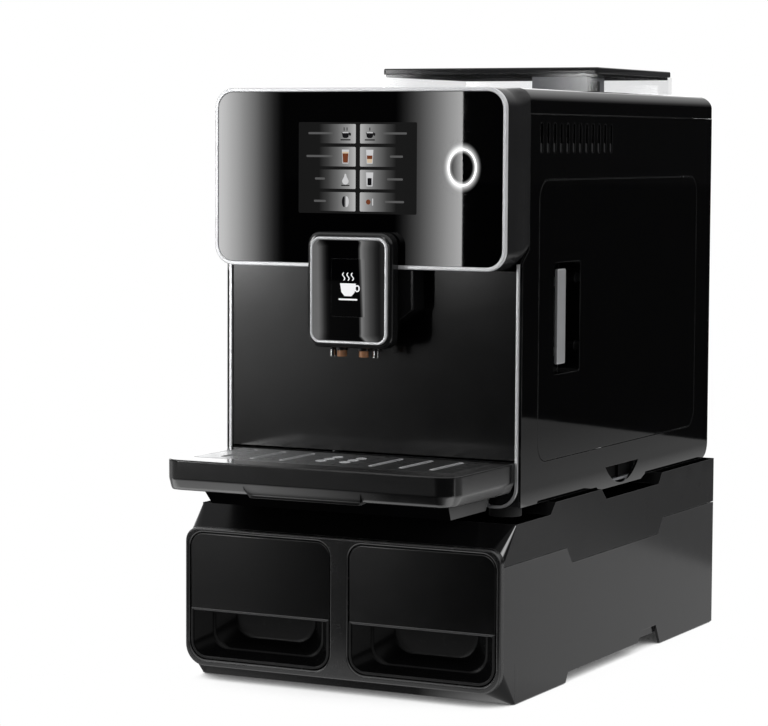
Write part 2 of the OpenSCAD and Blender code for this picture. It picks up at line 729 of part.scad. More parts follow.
module power_supply() color([0.6, 0.6, 0.55]) placed() {
  box(-104, mount_x, 300, 430, 380, 383);
  box(-100, -60, 304, 350, 382.9, 412);
  box(-96, -64, 360, 396, 382.9, 420);
  // row of upright fins
  for (i = [0 : 5]) box(-100 + i * 7, -97 + i * 7, 402, 426, 382.9, 410);
}
module power_inlet() color([0.06, 0.06, 0.06]) placed() difference() {
  union() {
    box(-118.6, -61.3, body_d - 27, body_d - 1, 197.3, 224.7);
    box(-122, -58, body_d - 2.9, body_d - 1, 194, 228);
  }
  // plug socket
  translate([-101, 0, inlet_z]) across(body_d - 22, body_d + 5) round_rect(24, 17, 3);
  // rocker well with its pivot holes
  box(-75.8, -64.2, body_d - 14, body_d + 5, 201, 221);
  rod_x(pivot_y, inlet_z, -79, -62, 1.26);
}
module rocker_switch() color([0.5, 0.06, 0.05]) placed()
  translate([rocker_x, pivot_y, inlet_z]) rotate([-7, 0, 0]) {
    difference() {
      box(-5.6, 5.6, -3.4, 5.6, -8.6, 8.6);
      // hollow face
      translate([0, 26, 0]) rotate([0, 90, 0])
        cylinder(h = 20, r = 21.6, center = true, $fn = 96);
    }
    rod_x(0, 0, -8, 8, 1.2);
  }

base_cabinet();
base_front_frame();
base_top_frame();
rubber_feet();
left_drawer_front();
left_drawer_box();
right_drawer_front();
right_drawer_box();
bottom_plate();
left_side_panel();
right_side_panel();
rear_panel();
rear_screws();
top_cover();
front_lower_panel();
backsplash();
trim_strips();
head_shell();
head_bezel();
head_glass();
display_module();
ring_light();
power_button();
control_board();
spout_housing();
guide_rods();
guide_brackets();
spout_carriage();
spout_shell();
spout_rim();
spout_glass();
spout_display();
coffee_nozzles();
milk_nozzles();
tray_frame();
drip_pan();
drip_grid();
door_panel();
door_handle_bar();
door_hinge_pins();
door_hinge_brackets();
bean_hopper();
powder_chute();
hopper_lid();
grind_knob();
grinder_body();
ring_burr();
cone_burr();
grinder_motor();
coffee_chute();
brew_frame();
brew_chamber();
brew_piston();
inner_partition();
boiler();
water_pump();
hoses();
power_supply();
power_inlet();
rocker_switch();
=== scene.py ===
"""A bean-to-cup coffee machine: drawers below, drip tray, sliding spout and a lit head above.

Layout numbers are millimetres: x runs to the machine's right, z up, and the front looks
towards -y, with y = 0 on the casing's front plane. Shader numbers are metres.
"""
import bpy, bmesh, json, math
from mathutils import Vector, Matrix


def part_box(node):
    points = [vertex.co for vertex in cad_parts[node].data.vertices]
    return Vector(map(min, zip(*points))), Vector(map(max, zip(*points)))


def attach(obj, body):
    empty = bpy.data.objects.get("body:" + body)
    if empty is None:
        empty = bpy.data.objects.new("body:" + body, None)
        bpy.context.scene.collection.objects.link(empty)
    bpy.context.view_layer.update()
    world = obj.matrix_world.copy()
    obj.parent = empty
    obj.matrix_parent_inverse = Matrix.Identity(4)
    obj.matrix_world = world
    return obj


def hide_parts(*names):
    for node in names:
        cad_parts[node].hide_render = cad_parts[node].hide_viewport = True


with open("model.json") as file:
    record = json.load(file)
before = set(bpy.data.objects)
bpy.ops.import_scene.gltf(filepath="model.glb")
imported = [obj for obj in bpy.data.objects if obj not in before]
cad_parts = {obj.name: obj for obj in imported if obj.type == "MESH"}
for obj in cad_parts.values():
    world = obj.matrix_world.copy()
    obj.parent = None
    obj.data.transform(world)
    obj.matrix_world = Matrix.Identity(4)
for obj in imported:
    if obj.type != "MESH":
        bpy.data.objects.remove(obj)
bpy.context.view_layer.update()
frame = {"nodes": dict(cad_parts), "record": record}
scene = bpy.context.scene

# ------------------------------------------------------------------ driving dimensions
SPLASH_SETBACK = 0.5                 # splash panel's front face behind the casing's front plane
ORIGIN_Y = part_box("backsplash")[0].y * 1000 - SPLASH_SETBACK
CARD_Y = (ORIGIN_Y - 2019) / 1000    # plane of the upright light cards, metres

HEAD_FRONT = -29                     # y of the head's front
RING_X, RING_Z = 104.4, 474.4        # centre of the lit ring
KEY_COLUMNS = {"left": (-38.7, -1.5), "right": (2.9, 39.2)}     # x range of the lit keys
DRAWER_X = 82.25                     # centre of a drawer front, mirrored for the left one
WHITE = (1, 1, 1)


def point(x, y, z):
    """layout millimetres to world metres"""
    return Vector((x / 1000, (y + ORIGIN_Y) / 1000, z / 1000))


# ------------------------------------------------------------------ outlines
def quarter(x, y, radius, start, steps):
    """quarter turn about (x, y), counter-clockwise from the start angle in degrees"""
    angles = [math.radians(start + 90 * i / steps) for i in range(steps + 1)]
    return [(x + radius * math.cos(a), y + radius * math.sin(a)) for a in angles]


def rounded(x, y, width, height, radius, steps):
    """rounded rectangle about (x, y), counter-clockwise
    radius is one value or four: right bottom, right top, left top, left bottom"""
    radii = radius if isinstance(radius, list) else [radius] * 4
    corners = [(1, -1, -90), (1, 1, 0), (-1, 1, 90), (-1, -1, 180)]
    loop = []
    for (side, end, start), r in zip(corners, radii):
        r = max(r, 0.01)
        loop += quarter(x + side * (width / 2 - r), y + end * (height / 2 - r), r, start, steps)
    return loop


def ellipse(x, y, radius_x, radius_y, count):
    angles = [2 * math.pi * i / count for i in range(count)]
    return [(x + radius_x * math.cos(a), y + radius_y * math.sin(a)) for a in angles]


def circle(x, y, radius, count):
    return ellipse(x, y, radius, radius, count)


def counter_clockwise(loop):
    area = sum(loop[i - 1][0] * loop[i][1] - loop[i][0] * loop[i - 1][1]
               for i in range(len(loop)))
    return loop if area > 0 else loop[::-1]


def grow(loop, distance):
    """moves a counter-clockwise loop outwards"""
    grown = []
    for i, here in enumerate(loop):
        before, after = loop[i - 1], loop[(i + 1) % len(loop)]
        edge_in = Vector((here[0] - before[0], here[1] - before[1]))
        edge_out = Vector((after[0] - here[0], after[1] - here[1]))
        if edge_in.length < 1e-9 or edge_out.length < 1e-9:
            edge_in = edge_out if edge_in.length < 1e-9 else edge_in
            edge_out = edge_in if edge_out.length < 1e-9 else edge_out
        normal_in = Vector((edge_in.y, -edge_in.x)).normalized()
        normal_out = Vector((edge_out.y, -edge_out.x)).normalized()
        mitre = (normal_in + normal_out) / max(1 + normal_in.dot(normal_out), 0.25)
        grown.append((here[0] + distance * mitre.x, here[1] + distance * mitre.y))
    return grown


# ------------------------------------------------------------------ mesh building
# an outline's plane, and the axis its depth runs along
PLANES = {
    "xz": lambda across, along, depth: point(across, depth, along),
    "yz": lambda across, along, depth: point(depth, across, along),
    "xy": lambda across, along, depth: point(across, along, depth),
}


def skin(mesh, rings, closed=False):
    """joins rings of world points with quads; returns their vertices"""
    rings = [[mesh.verts.new(p) for p in ring] for ring in rings]
    for ring, following in zip(rings, rings[1:] + (rings[:1] if closed else [])):
        for i in range(len(ring)):
            j = (i + 1) % len(ring)
            mesh.faces.new((ring[i], ring[j], following[j], following[i]))
    return rings


def loft(mesh, rings):
    """skin with both ends capped"""
    rings = skin(mesh, rings)
    mesh.faces.new(rings[0][::-1])
    mesh.faces.new(rings[-1])


def fill(mesh, rings):
    """flat cap bounded by the first ring, with the other rings as holes"""
    edges = [mesh.edges.get((ring[i], ring[(i + 1) % len(ring)]))
             for ring in rings for i in range(len(ring))]
    bmesh.ops.triangle_fill(mesh, use_beauty=True, use_dissolve=False, edges=edges)


def shaped_plate(mesh, plane, loops, profile):
    """plate whose first loop is the outline and the rest holes; profile is (inset, depth) pairs"""
    place = PLANES[plane]
    first, last = [], []
    for index, loop in enumerate(loops):
        loop = counter_clockwise(loop)
        outward = -1 if index == 0 else 1
        rings = skin(mesh, [[place(x, y, depth) for x, y in grow(loop, outward * inset)]
                            for inset, depth in profile])
        first.append(rings[0])
        last.append(rings[-1])
    fill(mesh, first)
    fill(mesh, last)


def plate(mesh, plane, loops, start, end, round_start=0, round_end=0, steps=1):
    """plate between two depths, with quarter-round edges"""
    turns = [math.pi / 2 * k / steps for k in range(steps + 1)]
    profile = [(0, start)]
    if round_start > 0:
        profile = [(round_start * (1 - math.sin(a)), start + round_start * (1 - math.cos(a)))
                   for a in turns]
    if round_end > 0:
        profile += [(round_end * (1 - math.cos(a)), end - round_end * (1 - math.sin(a)))
                    for a in turns]
    else:
        profile.append((0, end))
    shaped_plate(mesh, plane, loops, profile)


def hoop(mesh, plane, loop, section):
    """sweeps a closed section of (inset, depth) pairs round a loop"""
    place = PLANES[plane]
    loop = counter_clockwise(loop)
    skin(mesh, [[place(x, y, depth) for x, y in grow(loop, -inset)]
                for inset, depth in section], closed=True)


def add_weighted_normals(obj):
    modifier = obj.modifiers.new("wn", "WEIGHTED_NORMAL")
    modifier.keep_sharp = True
    modifier.weight = 60


def finish(name, mesh, material, body, replaces=None, smooth=35, weighted=True):
    bmesh.ops.remove_doubles(mesh, verts=mesh.verts, dist=2e-6)
    bmesh.ops.dissolve_degenerate(mesh, edges=mesh.edges, dist=1e-7)
    bmesh.ops.recalc_face_normals(mesh, faces=mesh.faces)
    data = bpy.data.meshes.new(name)
    mesh.to_mesh(data)
    mesh.free()
    for face in data.polygons:
        face.use_smooth = True
    data.set_sharp_from_angle(angle=math.radians(smooth))
    obj = bpy.data.objects.new(name, data)
    scene.collection.objects.link(obj)
    data.materials.append(materials[material])
    if weighted:
        add_weighted_normals(obj)
    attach(obj, body)
    if replaces:
        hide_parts(replaces)
    return obj


# ------------------------------------------------------------------ shader nodes
materials = {}


def linear(level):
    """display grey level, 0 to 255, as linear brightness"""
    level = level / 255
    return level / 12.92 if level <= 0.04045 else ((level + 0.055) / 1.055) ** 2.4


def light_stops(points, reflectance=1.0):
    """(x in mm, grey level) pairs as metres and the brightness that mirrors to that level"""
    return [(x / 1000, linear(level) / reflectance) for x, level in points]


class Nodes:
    """makes and wires shader nodes, for a new material unless an owner is given"""

    def __init__(self, name, owner=None, output="OutputMaterial"):
        self.name = name
        self.owner = owner or bpy.data.materials.new(name)
        self.owner.use_nodes = True
        self.tree = self.owner.node_tree
        self.tree.nodes.clear()
        self.output = self.node(output)

    def node(self, kind, inputs=None, **props):
        node = self.tree.nodes.new("ShaderNode" + kind)
        for key, value in props.items():
            setattr(node, key, value)
        for key, value in (inputs or {}).items():
            self.put(node, key, value)
        return node

    def put(self, node, key, value):
        """links a socket or a node's first output, or sets a plain value"""
        socket = node.inputs[key]
        if isinstance(value, bpy.types.Node):
            value = value.outputs[0]
        if isinstance(value, bpy.types.NodeSocket):
            self.tree.links.new(value, socket)
        elif socket.type == "RGBA":
            socket.default_value = (*value, 1.0)
        else:
            socket.default_value = value

    def math(self, operation, a, b=0.0, clamp=False):
        return self.node("Math", {0: a, 1: b}, operation=operation, use_clamp=clamp).outputs[0]

    def times(self, a, b):
        return self.math("MULTIPLY", a, b)

    def plus(self, a, b):
        return self.math("ADD", a, b)

    def minus(self, a, b):
        return self.math("SUBTRACT", a, b)

    def remap(self, value, low, high, start=0.0, end=1.0, **props):
        """clamped ramp: low gives start, high gives end"""
        return self.node("MapRange", {"Value": value, "From Min": low, "From Max": high,
                                      "To Min": start, "To Max": end}, **props).outputs[0]

    def piecewise(self, x, stops, keep_level=True):
        """joins (x, value) stops with straight ramps; level ones can be left out"""
        total = None
        for (x_a, value_a), (x_b, value_b) in zip(stops, stops[1:]):
            if value_a == value_b and not keep_level:
                continue
            ramp = self.remap(x, x_a, x_b, 0.0, value_b - value_a)
            total = ramp if total is None else self.plus(total, ramp)
        return self.plus(total, stops[0][1])

    def blend(self, amount, a, b):
        """mixes two colours"""
        return self.node("Mix", {0: amount, 6: a, 7: b}, data_type="RGBA").outputs[2]

    def coords(self, scale=(1, 1, 1), turn=(0, 0, 0)):
        vector = self.node("TexCoord").outputs["Object"]
        inputs = {"Vector": vector, "Scale": scale, "Rotation": turn}
        return self.node("Mapping", inputs).outputs[0]

    def noise(self, vector, scale, detail, rough=0.5):
        return self.node("TexNoise", {"Vector": vector, "Scale": scale, "Detail": detail,
                                      "Roughness": rough}).outputs[0]

    def split(self, vector):
        return self.node("SeparateXYZ", {0: vector}).outputs

    def texture_axes(self, kind="Object"):
        return self.split(self.node("TexCoord").outputs[kind])

    def normal_axes(self, kind="Normal"):
        return self.split(self.node("NewGeometry").outputs[kind])

    def dot(self, a, b):
        return self.node("VectorMath", {0: a, 1: b}, operation="DOT_PRODUCT").outputs["Value"]

    def emission(self, strength):
        return self.node("Emission", {0: WHITE, 1: strength})

    def glowing(self, colour, strength=1.0, base=(0.002, 0.002, 0.002), rough=0.25, spec=0.0):
        """dark plastic that gives off light"""
        return self.node("BsdfPrincipled", {
            "Base Color": base, "Roughness": rough, "Specular IOR Level": spec,
            "Emission Color": colour, "Emission Strength": strength})

    def by_ray(self, camera, glossy, other):
        """one shader seen by the camera, one in reflections and one by all other rays"""
        ray = self.node("LightPath").outputs
        indirect = self.node("MixShader", {0: ray["Is Glossy Ray"], 1: other, 2: glossy})
        return self.node("MixShader", {0: ray["Is Camera Ray"], 1: indirect, 2: camera})

    def done(self, shader):
        self.put(self.output, 0, shader)
        materials[self.name] = self.owner
        return self.owner


# ------------------------------------------------------------------ layered finishes
class Layers(Nodes):
    """colour, gloss and relief that each layer works over"""

    def __init__(self, name, colour, rough, vary, vary_scale, rough_vary, rough_scale, tint):
        super().__init__(name)
        self.colour = colour
        self.object_coords = self.coords()
        self.relief = None
        patches = self.noise(self.object_coords, scale=vary_scale, detail=4, rough=0.55)
        self.wear = self.noise(self.object_coords, scale=rough_scale, detail=5, rough=0.6)
        light = self.shade(1 + vary)
        if tint:
            light = [c * 0.6 + q * 0.4 for c, q in zip(light, tint)]
        self.base = self.blend(self.remap(patches, 0.3, 0.7), self.shade(1 - vary), light)
        self.rough = self.plus(rough - rough_vary / 2,
                               self.times(self.remap(self.wear, 0.3, 0.7), rough_vary))

    def shade(self, factor):
        return [c * factor for c in self.colour]

    def paint(self, amount, colour):
        self.base = self.blend(amount, self.base, colour)

    def roughen(self, amount):
        self.rough = self.plus(self.rough, amount)

    def emboss(self, strength, distance, height):
        inputs = {"Strength": strength, "Distance": distance, "Height": height}
        if self.relief is not None:
            inputs["Normal"] = self.relief
        self.relief = self.node("Bump", inputs).outputs[0]

    def scratches(self, amount):
        """two crossing sets of fine streaks"""
        along = self.noise(self.coords((1, 40, 3), (0.3, 0.5, 0.7)),
                           scale=120, detail=2, rough=0.4)
        across = self.noise(self.coords((40, 1, 3), (0.2, -0.4, 0.4)),
                            scale=110, detail=2, rough=0.4)
        streaks = self.math("MAXIMUM", self.remap(along, 0.66, 0.78),
                            self.remap(across, 0.67, 0.78))
        self.roughen(self.times(streaks, amount))

    def brushing(self, axis, depth):
        """fine lines along an axis"""
        stretch = tuple(1 if name == axis else 260 for name in "xyz")
        lines = self.noise(self.coords(stretch), scale=6, detail=3, rough=0.65)
        self.roughen(self.times(self.minus(lines, 0.5), depth * 1.6))
        self.paint(self.times(self.remap(lines, 0.25, 0.75), 0.55), self.shade(0.72))
        self.emboss(depth * 0.9, 0.00008, lines)

    def dusting(self, amount):
        """pale specks on upward faces"""
        up = self.normal_axes()[2]
        specks = self.remap(self.noise(self.object_coords, scale=2600, detail=2), 0.66, 0.74)
        mask = self.times(self.times(specks, self.remap(up, 0.5, 1.0)), amount)
        self.paint(mask, (0.35, 0.34, 0.33))
        self.roughen(self.times(mask, 0.3))

    def grain(self, strength, scale, cells):
        if cells:
            inputs = {"Vector": self.object_coords, "Scale": scale}
            voronoi = self.node("TexVoronoi", inputs, feature="SMOOTH_F1")
            height = voronoi.outputs["Distance"]
        else:
            height = self.noise(self.object_coords, scale=scale, detail=2, rough=0.55)
        self.emboss(strength, 0.0001, height)

    def orange_peel(self, strength):
        self.emboss(strength, 0.0004, self.noise(self.object_coords, scale=260, detail=2))

    def worn_and_lit_edges(self, amount):
        # edge wear and painted highlight: edges found by the Bevel node are painted lighter and a
        # little rougher
        normal = self.node("NewGeometry").outputs["Normal"]
        bevelled = self.node("Bevel", {"Radius": 0.0009}, samples=3).outputs[0]
        mask = self.times(self.remap(self.dot(bevelled, normal), 0.985, 0.80),
                          self.remap(self.wear, 0.35, 0.6, 0.4, 1.0))
        mask = self.times(mask, amount)
        self.paint(mask, [min(1, c * 3 + 0.06) for c in self.colour])
        self.roughen(self.times(mask, 0.08))

    def painted_sheen_falloff(self, start, end, remaining):
        """painted reflection: the colour darkens across the width, as the satin sheen falls off"""
        self.paint(self.remap(self.texture_axes()[0], start, end), self.shade(remaining))

    def painted_side_light(self, sides, fronts, down_only):
        """painted light: even grey on right-hand faces, as if lit from the right; on front faces
        it fades to the right
        """
        facing = self.normal_axes()
        amount = self.times(self.remap(facing[0], 0.3, 0.7), sides)
        if fronts:
            painted_fade = self.remap(self.texture_axes()[0], 0.085, -0.05)
            front = self.times(self.times(self.remap(facing[1], -0.3, -0.6), painted_fade), fronts)
            down = self.remap(facing[2], -0.2, -0.42) if down_only else 1.0
            amount = self.times(self.plus(front, amount), down)
        self.paint(self.times(amount, 1.0), WHITE)

    def lit_corners(self, amount):
        """rounded edges beside the front face catch a thin line of light"""
        front = self.math("ABSOLUTE", self.normal_axes()[1])
        level = self.math("ABSOLUTE", self.normal_axes()[2])
        band = self.times(self.remap(front, 0.985, 0.93), self.remap(front, 0.15, 0.5))
        gain = self.times(self.remap(level, 0.1, 0.45, 0.25, 1.0), amount)
        self.paint(self.times(band, gain), WHITE)

    def lit_fronts(self, amount):
        """upright faces turned to the front catch a little more light"""
        front = self.remap(self.normal_axes()[1], -0.9, -0.98)
        self.paint(self.times(front, amount), WHITE)

    def shaded_top(self, spec):
        """darkens level upward faces; returns the specular level to use"""
        up = self.normal_axes("True Normal")[2]
        spec = self.remap(up, 0.9, 0.97, spec, 0.0)
        self.paint(self.remap(up, 0.9, 0.97), (0.0004, 0.0004, 0.0004))
        return spec

    def bowed(self, centre, strength):
        """tilts the relief's normals as if each mirrored half bulged about its centre"""
        x = self.texture_axes()[0]
        tilt = self.times(self.minus(self.math("ABSOLUTE", x), centre), strength)
        tilt = self.times(tilt, self.math("SIGN", x))
        vector = self.node("CombineXYZ", {0: tilt})
        total = self.node("VectorMath", {0: self.relief, 1: vector}, operation="ADD")
        self.relief = self.node("VectorMath", {0: total}, operation="NORMALIZE").outputs[0]

    def glinting(self, shader, strength):
        """a small window high on the right, mirrored only by the rounded corners"""
        reflection = self.node("TexCoord").outputs["Reflection"]
        window = self.remap(self.dot(reflection, (0.599, 0.252, 0.759)), 0.925, 0.975)
        self.put(shader, "Emission Color", WHITE)
        self.put(shader, "Emission Strength", self.times(window, strength))


def surface(name, colour, rough, metal=0.0, spec=0.5, coat=0.0, sheen=0.0, tint=None,
            vary=0.06, vary_scale=30, rough_vary=0.04, rough_scale=60,
            bump=0.0, bump_scale=1500, cells=False, brush=None, brush_depth=0.12,
            peel=0.0, scratch=0.0, dust=0.0, edge=0.0, painted_fade=None,
            painted_light_sides=0.0, painted_light_fronts=0.0, down_only=False,
            corner_light=0.0, front_light=0.0, dark_top=False, bow=None, glint=0.0):
    """a principled finish whose colour, gloss and relief all vary over the surface"""
    t = Layers(name, colour, rough, vary, vary_scale, rough_vary, rough_scale, tint)
    if scratch:
        t.scratches(scratch)
    if brush:
        t.brushing(brush, brush_depth)
    if dust:
        t.dusting(dust)
    if bump:
        t.grain(bump, bump_scale, cells)
    if peel:
        t.orange_peel(peel)
    if edge:
        t.worn_and_lit_edges(edge)
    if painted_fade:
        t.painted_sheen_falloff(*painted_fade)
    if painted_light_sides:
        t.painted_side_light(painted_light_sides, painted_light_fronts, down_only)
    if corner_light:
        t.lit_corners(corner_light)
    if front_light:
        t.lit_fronts(front_light)
    if dark_top:
        spec = t.shaded_top(spec)
    shader = t.node("BsdfPrincipled", {
        "Base Color": t.base, "Roughness": t.math("MAXIMUM", t.rough, 0.012),
        "Metallic": metal, "IOR": 1.5, "Specular IOR Level": spec,
        "Coat Weight": coat, "Coat Roughness": 0.02, "Sheen Weight": sheen})
    if bow:
        t.bowed(*bow)
    if t.relief is not None:
        t.put(shader, "Normal", t.relief)
    if glint:
        t.glinting(shader, glint)
    t.done(shader)


# casing and base
surface("casing_black", colour=(0.0010, 0.0010, 0.0011), rough=0.026, spec=0.40, vary=0.15,
        rough_vary=0.012, peel=0.010, scratch=0.04, dust=0.25)
surface("cabinet_black", colour=(0.0045, 0.0045, 0.0048), rough=0.13, spec=0.25, vary=0.08,
        peel=0.02, scratch=0.05, edge=1.0)
surface("rim_black", colour=(0.0035, 0.0035, 0.0037), rough=0.26, spec=0.36, vary=0.08,
        rough_vary=0.05, bump=0.05, bump_scale=2600, scratch=0.05, edge=0.8, corner_light=0.05)
surface("top_frame_black", colour=(0.0035, 0.0035, 0.0037), rough=0.24, spec=0.085, vary=0.08,
        rough_vary=0.05, peel=0.02, scratch=0.04, edge=1.0, glint=0.5, dark_top=True)
surface("collar_black", colour=(0.0095, 0.0095, 0.0098), rough=0.22, spec=0.16, vary=0.08,
        rough_vary=0.05, peel=0.02, scratch=0.04, edge=0.1)
# lighter grey than the drawer black: a painted highlight along the rolled lip under each drawer
# panel
surface("lip_painted_highlight", colour=(0.034, 0.034, 0.035), rough=0.30, spec=0.3, vary=0.08,
        rough_vary=0.05, scratch=0.04)
# lighter steel than the grid: painted highlight lines along the raised slot rims
surface("slot_rim", colour=(0.44, 0.445, 0.45), rough=0.25, metal=0.35, rough_vary=0.06,
        brush="x", brush_depth=0.05)
# copy of casing_black with painted edge highlights round the door's outline and the side panel's
# openings
surface("door_black", colour=(0.0010, 0.0010, 0.0011), rough=0.026, spec=0.40, vary=0.15,
        rough_vary=0.012, peel=0.010, scratch=0.04, edge=0.75)
surface("drawer_black", colour=(0.0018, 0.0018, 0.0019), rough=0.26, spec=0.06, vary=0.1,
        peel=0.03, scratch=0.06, edge=0.5, front_light=0.011)
surface("drawer_panel", colour=(0.0014, 0.0014, 0.0015), rough=0.20, spec=0.45, vary=0.1,
        peel=0.03, scratch=0.05, bow=(DRAWER_X / 1000, 1.9), corner_light=0.032)
surface("box_grey", colour=(0.05, 0.05, 0.052), rough=0.45, bump=0.2, bump_scale=1800)
surface("foot_rubber", colour=(0.018, 0.018, 0.018), rough=0.75, spec=0.3, bump=0.35,
        bump_scale=1200, sheen=0.15)
surface("sheet_steel", colour=(0.42, 0.43, 0.45), rough=0.32, metal=1.0, vary=0.10,
        vary_scale=14, rough_vary=0.16, brush="z", brush_depth=0.08)
surface("panel_grey", colour=(0.022, 0.022, 0.023), rough=0.5, spec=0.45, bump=0.45,
        bump_scale=1600, rough_vary=0.08)
surface("screw_steel", colour=(0.5, 0.5, 0.51), rough=0.26, metal=1.0, rough_vary=0.1, vary=0.08)

# head, spout and tray
surface("trim_chrome", colour=(0.66, 0.665, 0.675), rough=0.30, metal=0.75, vary=0.01)
surface("rim_silver", colour=(0.56, 0.565, 0.575), rough=0.36, metal=0.5, vary=0.02)
surface("button_black", colour=(0.003, 0.003, 0.0035), rough=0.03, spec=0.42, rough_vary=0.01,
        vary=0.1)
surface("board_green", colour=(0.012, 0.10, 0.04), rough=0.35, coat=0.3, vary=0.25,
        vary_scale=180, bump=0.3, bump_scale=400, cells=True)
surface("spout_black", colour=(0.0045, 0.0045, 0.0047), rough=0.11, vary=0.1,
        rough_vary=0.03, peel=0.03, scratch=0.05, edge=0.08)
surface("rod_steel", colour=(0.72, 0.73, 0.74), rough=0.09, metal=1.0, brush="z",
        brush_depth=0.03)
surface("bracket_grey", colour=(0.06, 0.06, 0.063), rough=0.45, bump=0.25, bump_scale=1800)
surface("nozzle_brown", colour=(0.20, 0.095, 0.045), rough=0.28, vary=0.3, vary_scale=160,
        tint=(0.35, 0.16, 0.07))
surface("nozzle_steel", colour=(0.78, 0.785, 0.79), rough=0.16, metal=1.0, brush="z",
        brush_depth=0.05)
# painted light: lighter on right-hand faces, and on down-facing front faces fading to the right
surface("tray_black", colour=(0.0026, 0.0026, 0.0027), rough=0.17, vary=0.08, rough_vary=0.05,
        peel=0.03, scratch=0.06, edge=0.10, painted_light_sides=0.075, painted_light_fronts=0.125, down_only=True)
# painted light: lighter on right-hand faces and on front faces, fading to the right
surface("tray_lip", colour=(0.0026, 0.0026, 0.0027), rough=0.22, spec=0.4, vary=0.08,
        rough_vary=0.05, peel=0.03, scratch=0.06, painted_light_sides=0.07, painted_light_fronts=0.16)
# painted light: lighter on right-hand faces
surface("pan_black", colour=(0.0015, 0.0015, 0.0016), rough=0.38, spec=0.0, bump=0.12,
        bump_scale=2200, edge=0.05, painted_light_sides=0.07)
# darker towards the right: a painted reflection falloff across the grid
surface("grid_steel", colour=(0.30, 0.303, 0.309), rough=0.30, metal=0.72, vary=0.05,
        rough_vary=0.1, brush="x", brush_depth=0.16, painted_fade=(-0.125, 0.06, 0.10))
surface("handle_silver", colour=(0.50, 0.505, 0.515), rough=0.34, metal=0.7, brush="z",
        brush_depth=0.03)
surface("liner_black", colour=(0.0015, 0.0015, 0.0016), rough=0.6, spec=0.05, bump=0.2)
surface("bracket_dark", colour=(0.014, 0.014, 0.0145), rough=0.45, spec=0.3, bump=0.2,
        bump_scale=1800)

# inner parts
surface("chute_grey", colour=(0.12, 0.122, 0.13), rough=0.42, bump=0.25, bump_scale=1800)
surface("knob_black", colour=(0.03, 0.03, 0.031), rough=0.42, bump=0.2, bump_scale=2000,
        edge=0.15)
surface("grinder_alu", colour=(0.42, 0.43, 0.44), rough=0.48, metal=1.0, bump=0.5,
        bump_scale=900, vary=0.12)
surface("burr_steel", colour=(0.45, 0.45, 0.46), rough=0.3, metal=1.0, brush="x",
        brush_depth=0.1)
surface("motor_dark", colour=(0.05, 0.05, 0.055), rough=0.35, metal=0.3, bump=0.2)
surface("brew_plastic", colour=(0.50, 0.47, 0.38), rough=0.38, bump=0.12, vary=0.08)
surface("piston_dark", colour=(0.045, 0.045, 0.05), rough=0.4, bump=0.2)
surface("boiler_steel", colour=(0.58, 0.585, 0.59), rough=0.25, metal=1.0, brush="x", vary=0.08)
surface("pump_black", colour=(0.035, 0.035, 0.037), rough=0.42, bump=0.25)
surface("hose_clear", colour=(0.62, 0.62, 0.61), rough=0.35, coat=0.2)
surface("supply_steel", colour=(0.45, 0.45, 0.46), rough=0.35, metal=1.0, brush="x")
surface("switch_red", colour=(0.32, 0.012, 0.010), rough=0.25, coat=0.2, vary=0.08)

# glossy front panels
surface("glass_black", colour=(0.0005, 0.0005, 0.0006), rough=0.012, vary=0.1,
        rough_vary=0.006, rough_scale=25, scratch=0.012)
surface("splash_black", colour=(0.0008, 0.0008, 0.0009), rough=0.14, spec=0.42, vary=0.1,
        rough_vary=0.03, peel=0.02, scratch=0.04)


# ------------------------------------------------------------------ lit materials
def lit_panel(name, x_range, levels):
    """panel lit unevenly along x (mm); levels are (place in the range, grey level) pairs"""
    t = Nodes(name)
    place = t.remap(t.texture_axes()[0], x_range[0] / 1000, x_range[1] / 1000)
    ramp = t.node("ValToRGB", {0: place})
    stops = ramp.color_ramp.elements
    stops.remove(stops[-1])
    stops[0].position = levels[0][0]
    stops[0].color = (linear(levels[0][1]),) * 3 + (1,)
    for position, level in levels[1:]:
        stops.new(position).color = (linear(level),) * 3 + (1,)
    cells = t.noise(t.coords(), scale=4200, detail=1)
    t.done(t.glowing(t.blend(t.times(cells, 0.18), ramp.outputs[0], (0, 0, 0))))


lit_panel("screen", (-60, 60), [(0, 22), (0.5, 24), (1, 23)])
lit_panel("key_left", KEY_COLUMNS["left"],
          [(0, 22), (0.25, 62), (0.5, 104), (0.8, 150), (1, 188)])
lit_panel("key_right", KEY_COLUMNS["right"],
          [(0, 186), (0.2, 150), (0.45, 112), (0.75, 64), (1, 24)])


def lit(name, colour):
    """evenly lit mark with a faint mottle"""
    t = Nodes(name)
    mottle = t.noise(t.coords(), scale=700, detail=3)
    colour = t.blend(t.times(mottle, 0.25), colour, [c * 0.75 for c in colour])
    t.done(t.glowing(colour, rough=0.3))


lit("ring_white", (0.90, 0.90, 0.92))
lit("icon_white", (0.92, 0.92, 0.93))
lit("icon_soft", (0.60, 0.60, 0.61))
lit("bar_grey", (linear(88),) * 3)
lit("icon_dark", (0.006, 0.006, 0.007))
lit("icon_brown", (0.16, 0.045, 0.018))
lit("icon_cream", (0.62, 0.50, 0.36))


def ring_halo():
    """see-through film that glows on both sides of the lit ring"""
    t = Nodes("ring_halo")
    centre = tuple(point(RING_X, HEAD_FRONT, RING_Z))
    offset = t.node("VectorMath", {0: t.node("TexCoord").outputs["Object"], 1: centre},
                    operation="SUBTRACT").outputs[0]
    axes = t.split(offset)
    x = t.times(axes[0], 16.2 / 13.4)       # the ring is taller than it is wide
    radius = t.math("SQRT", t.plus(t.times(x, x), t.times(axes[2], axes[2])))
    outside = t.remap(radius, 0.0170, 0.0232, 1.0, 0.0)
    inside = t.remap(radius, 0.0152, 0.0115, 1.0, 0.0)
    glow = t.math("MAXIMUM", t.math("MINIMUM", outside, inside), 0.0)
    glow = t.times(t.math("POWER", glow, 2.2), 0.34)
    t.done(t.node("AddShader", {0: t.emission(glow), 1: t.node("BsdfTransparent")}))


ring_halo()


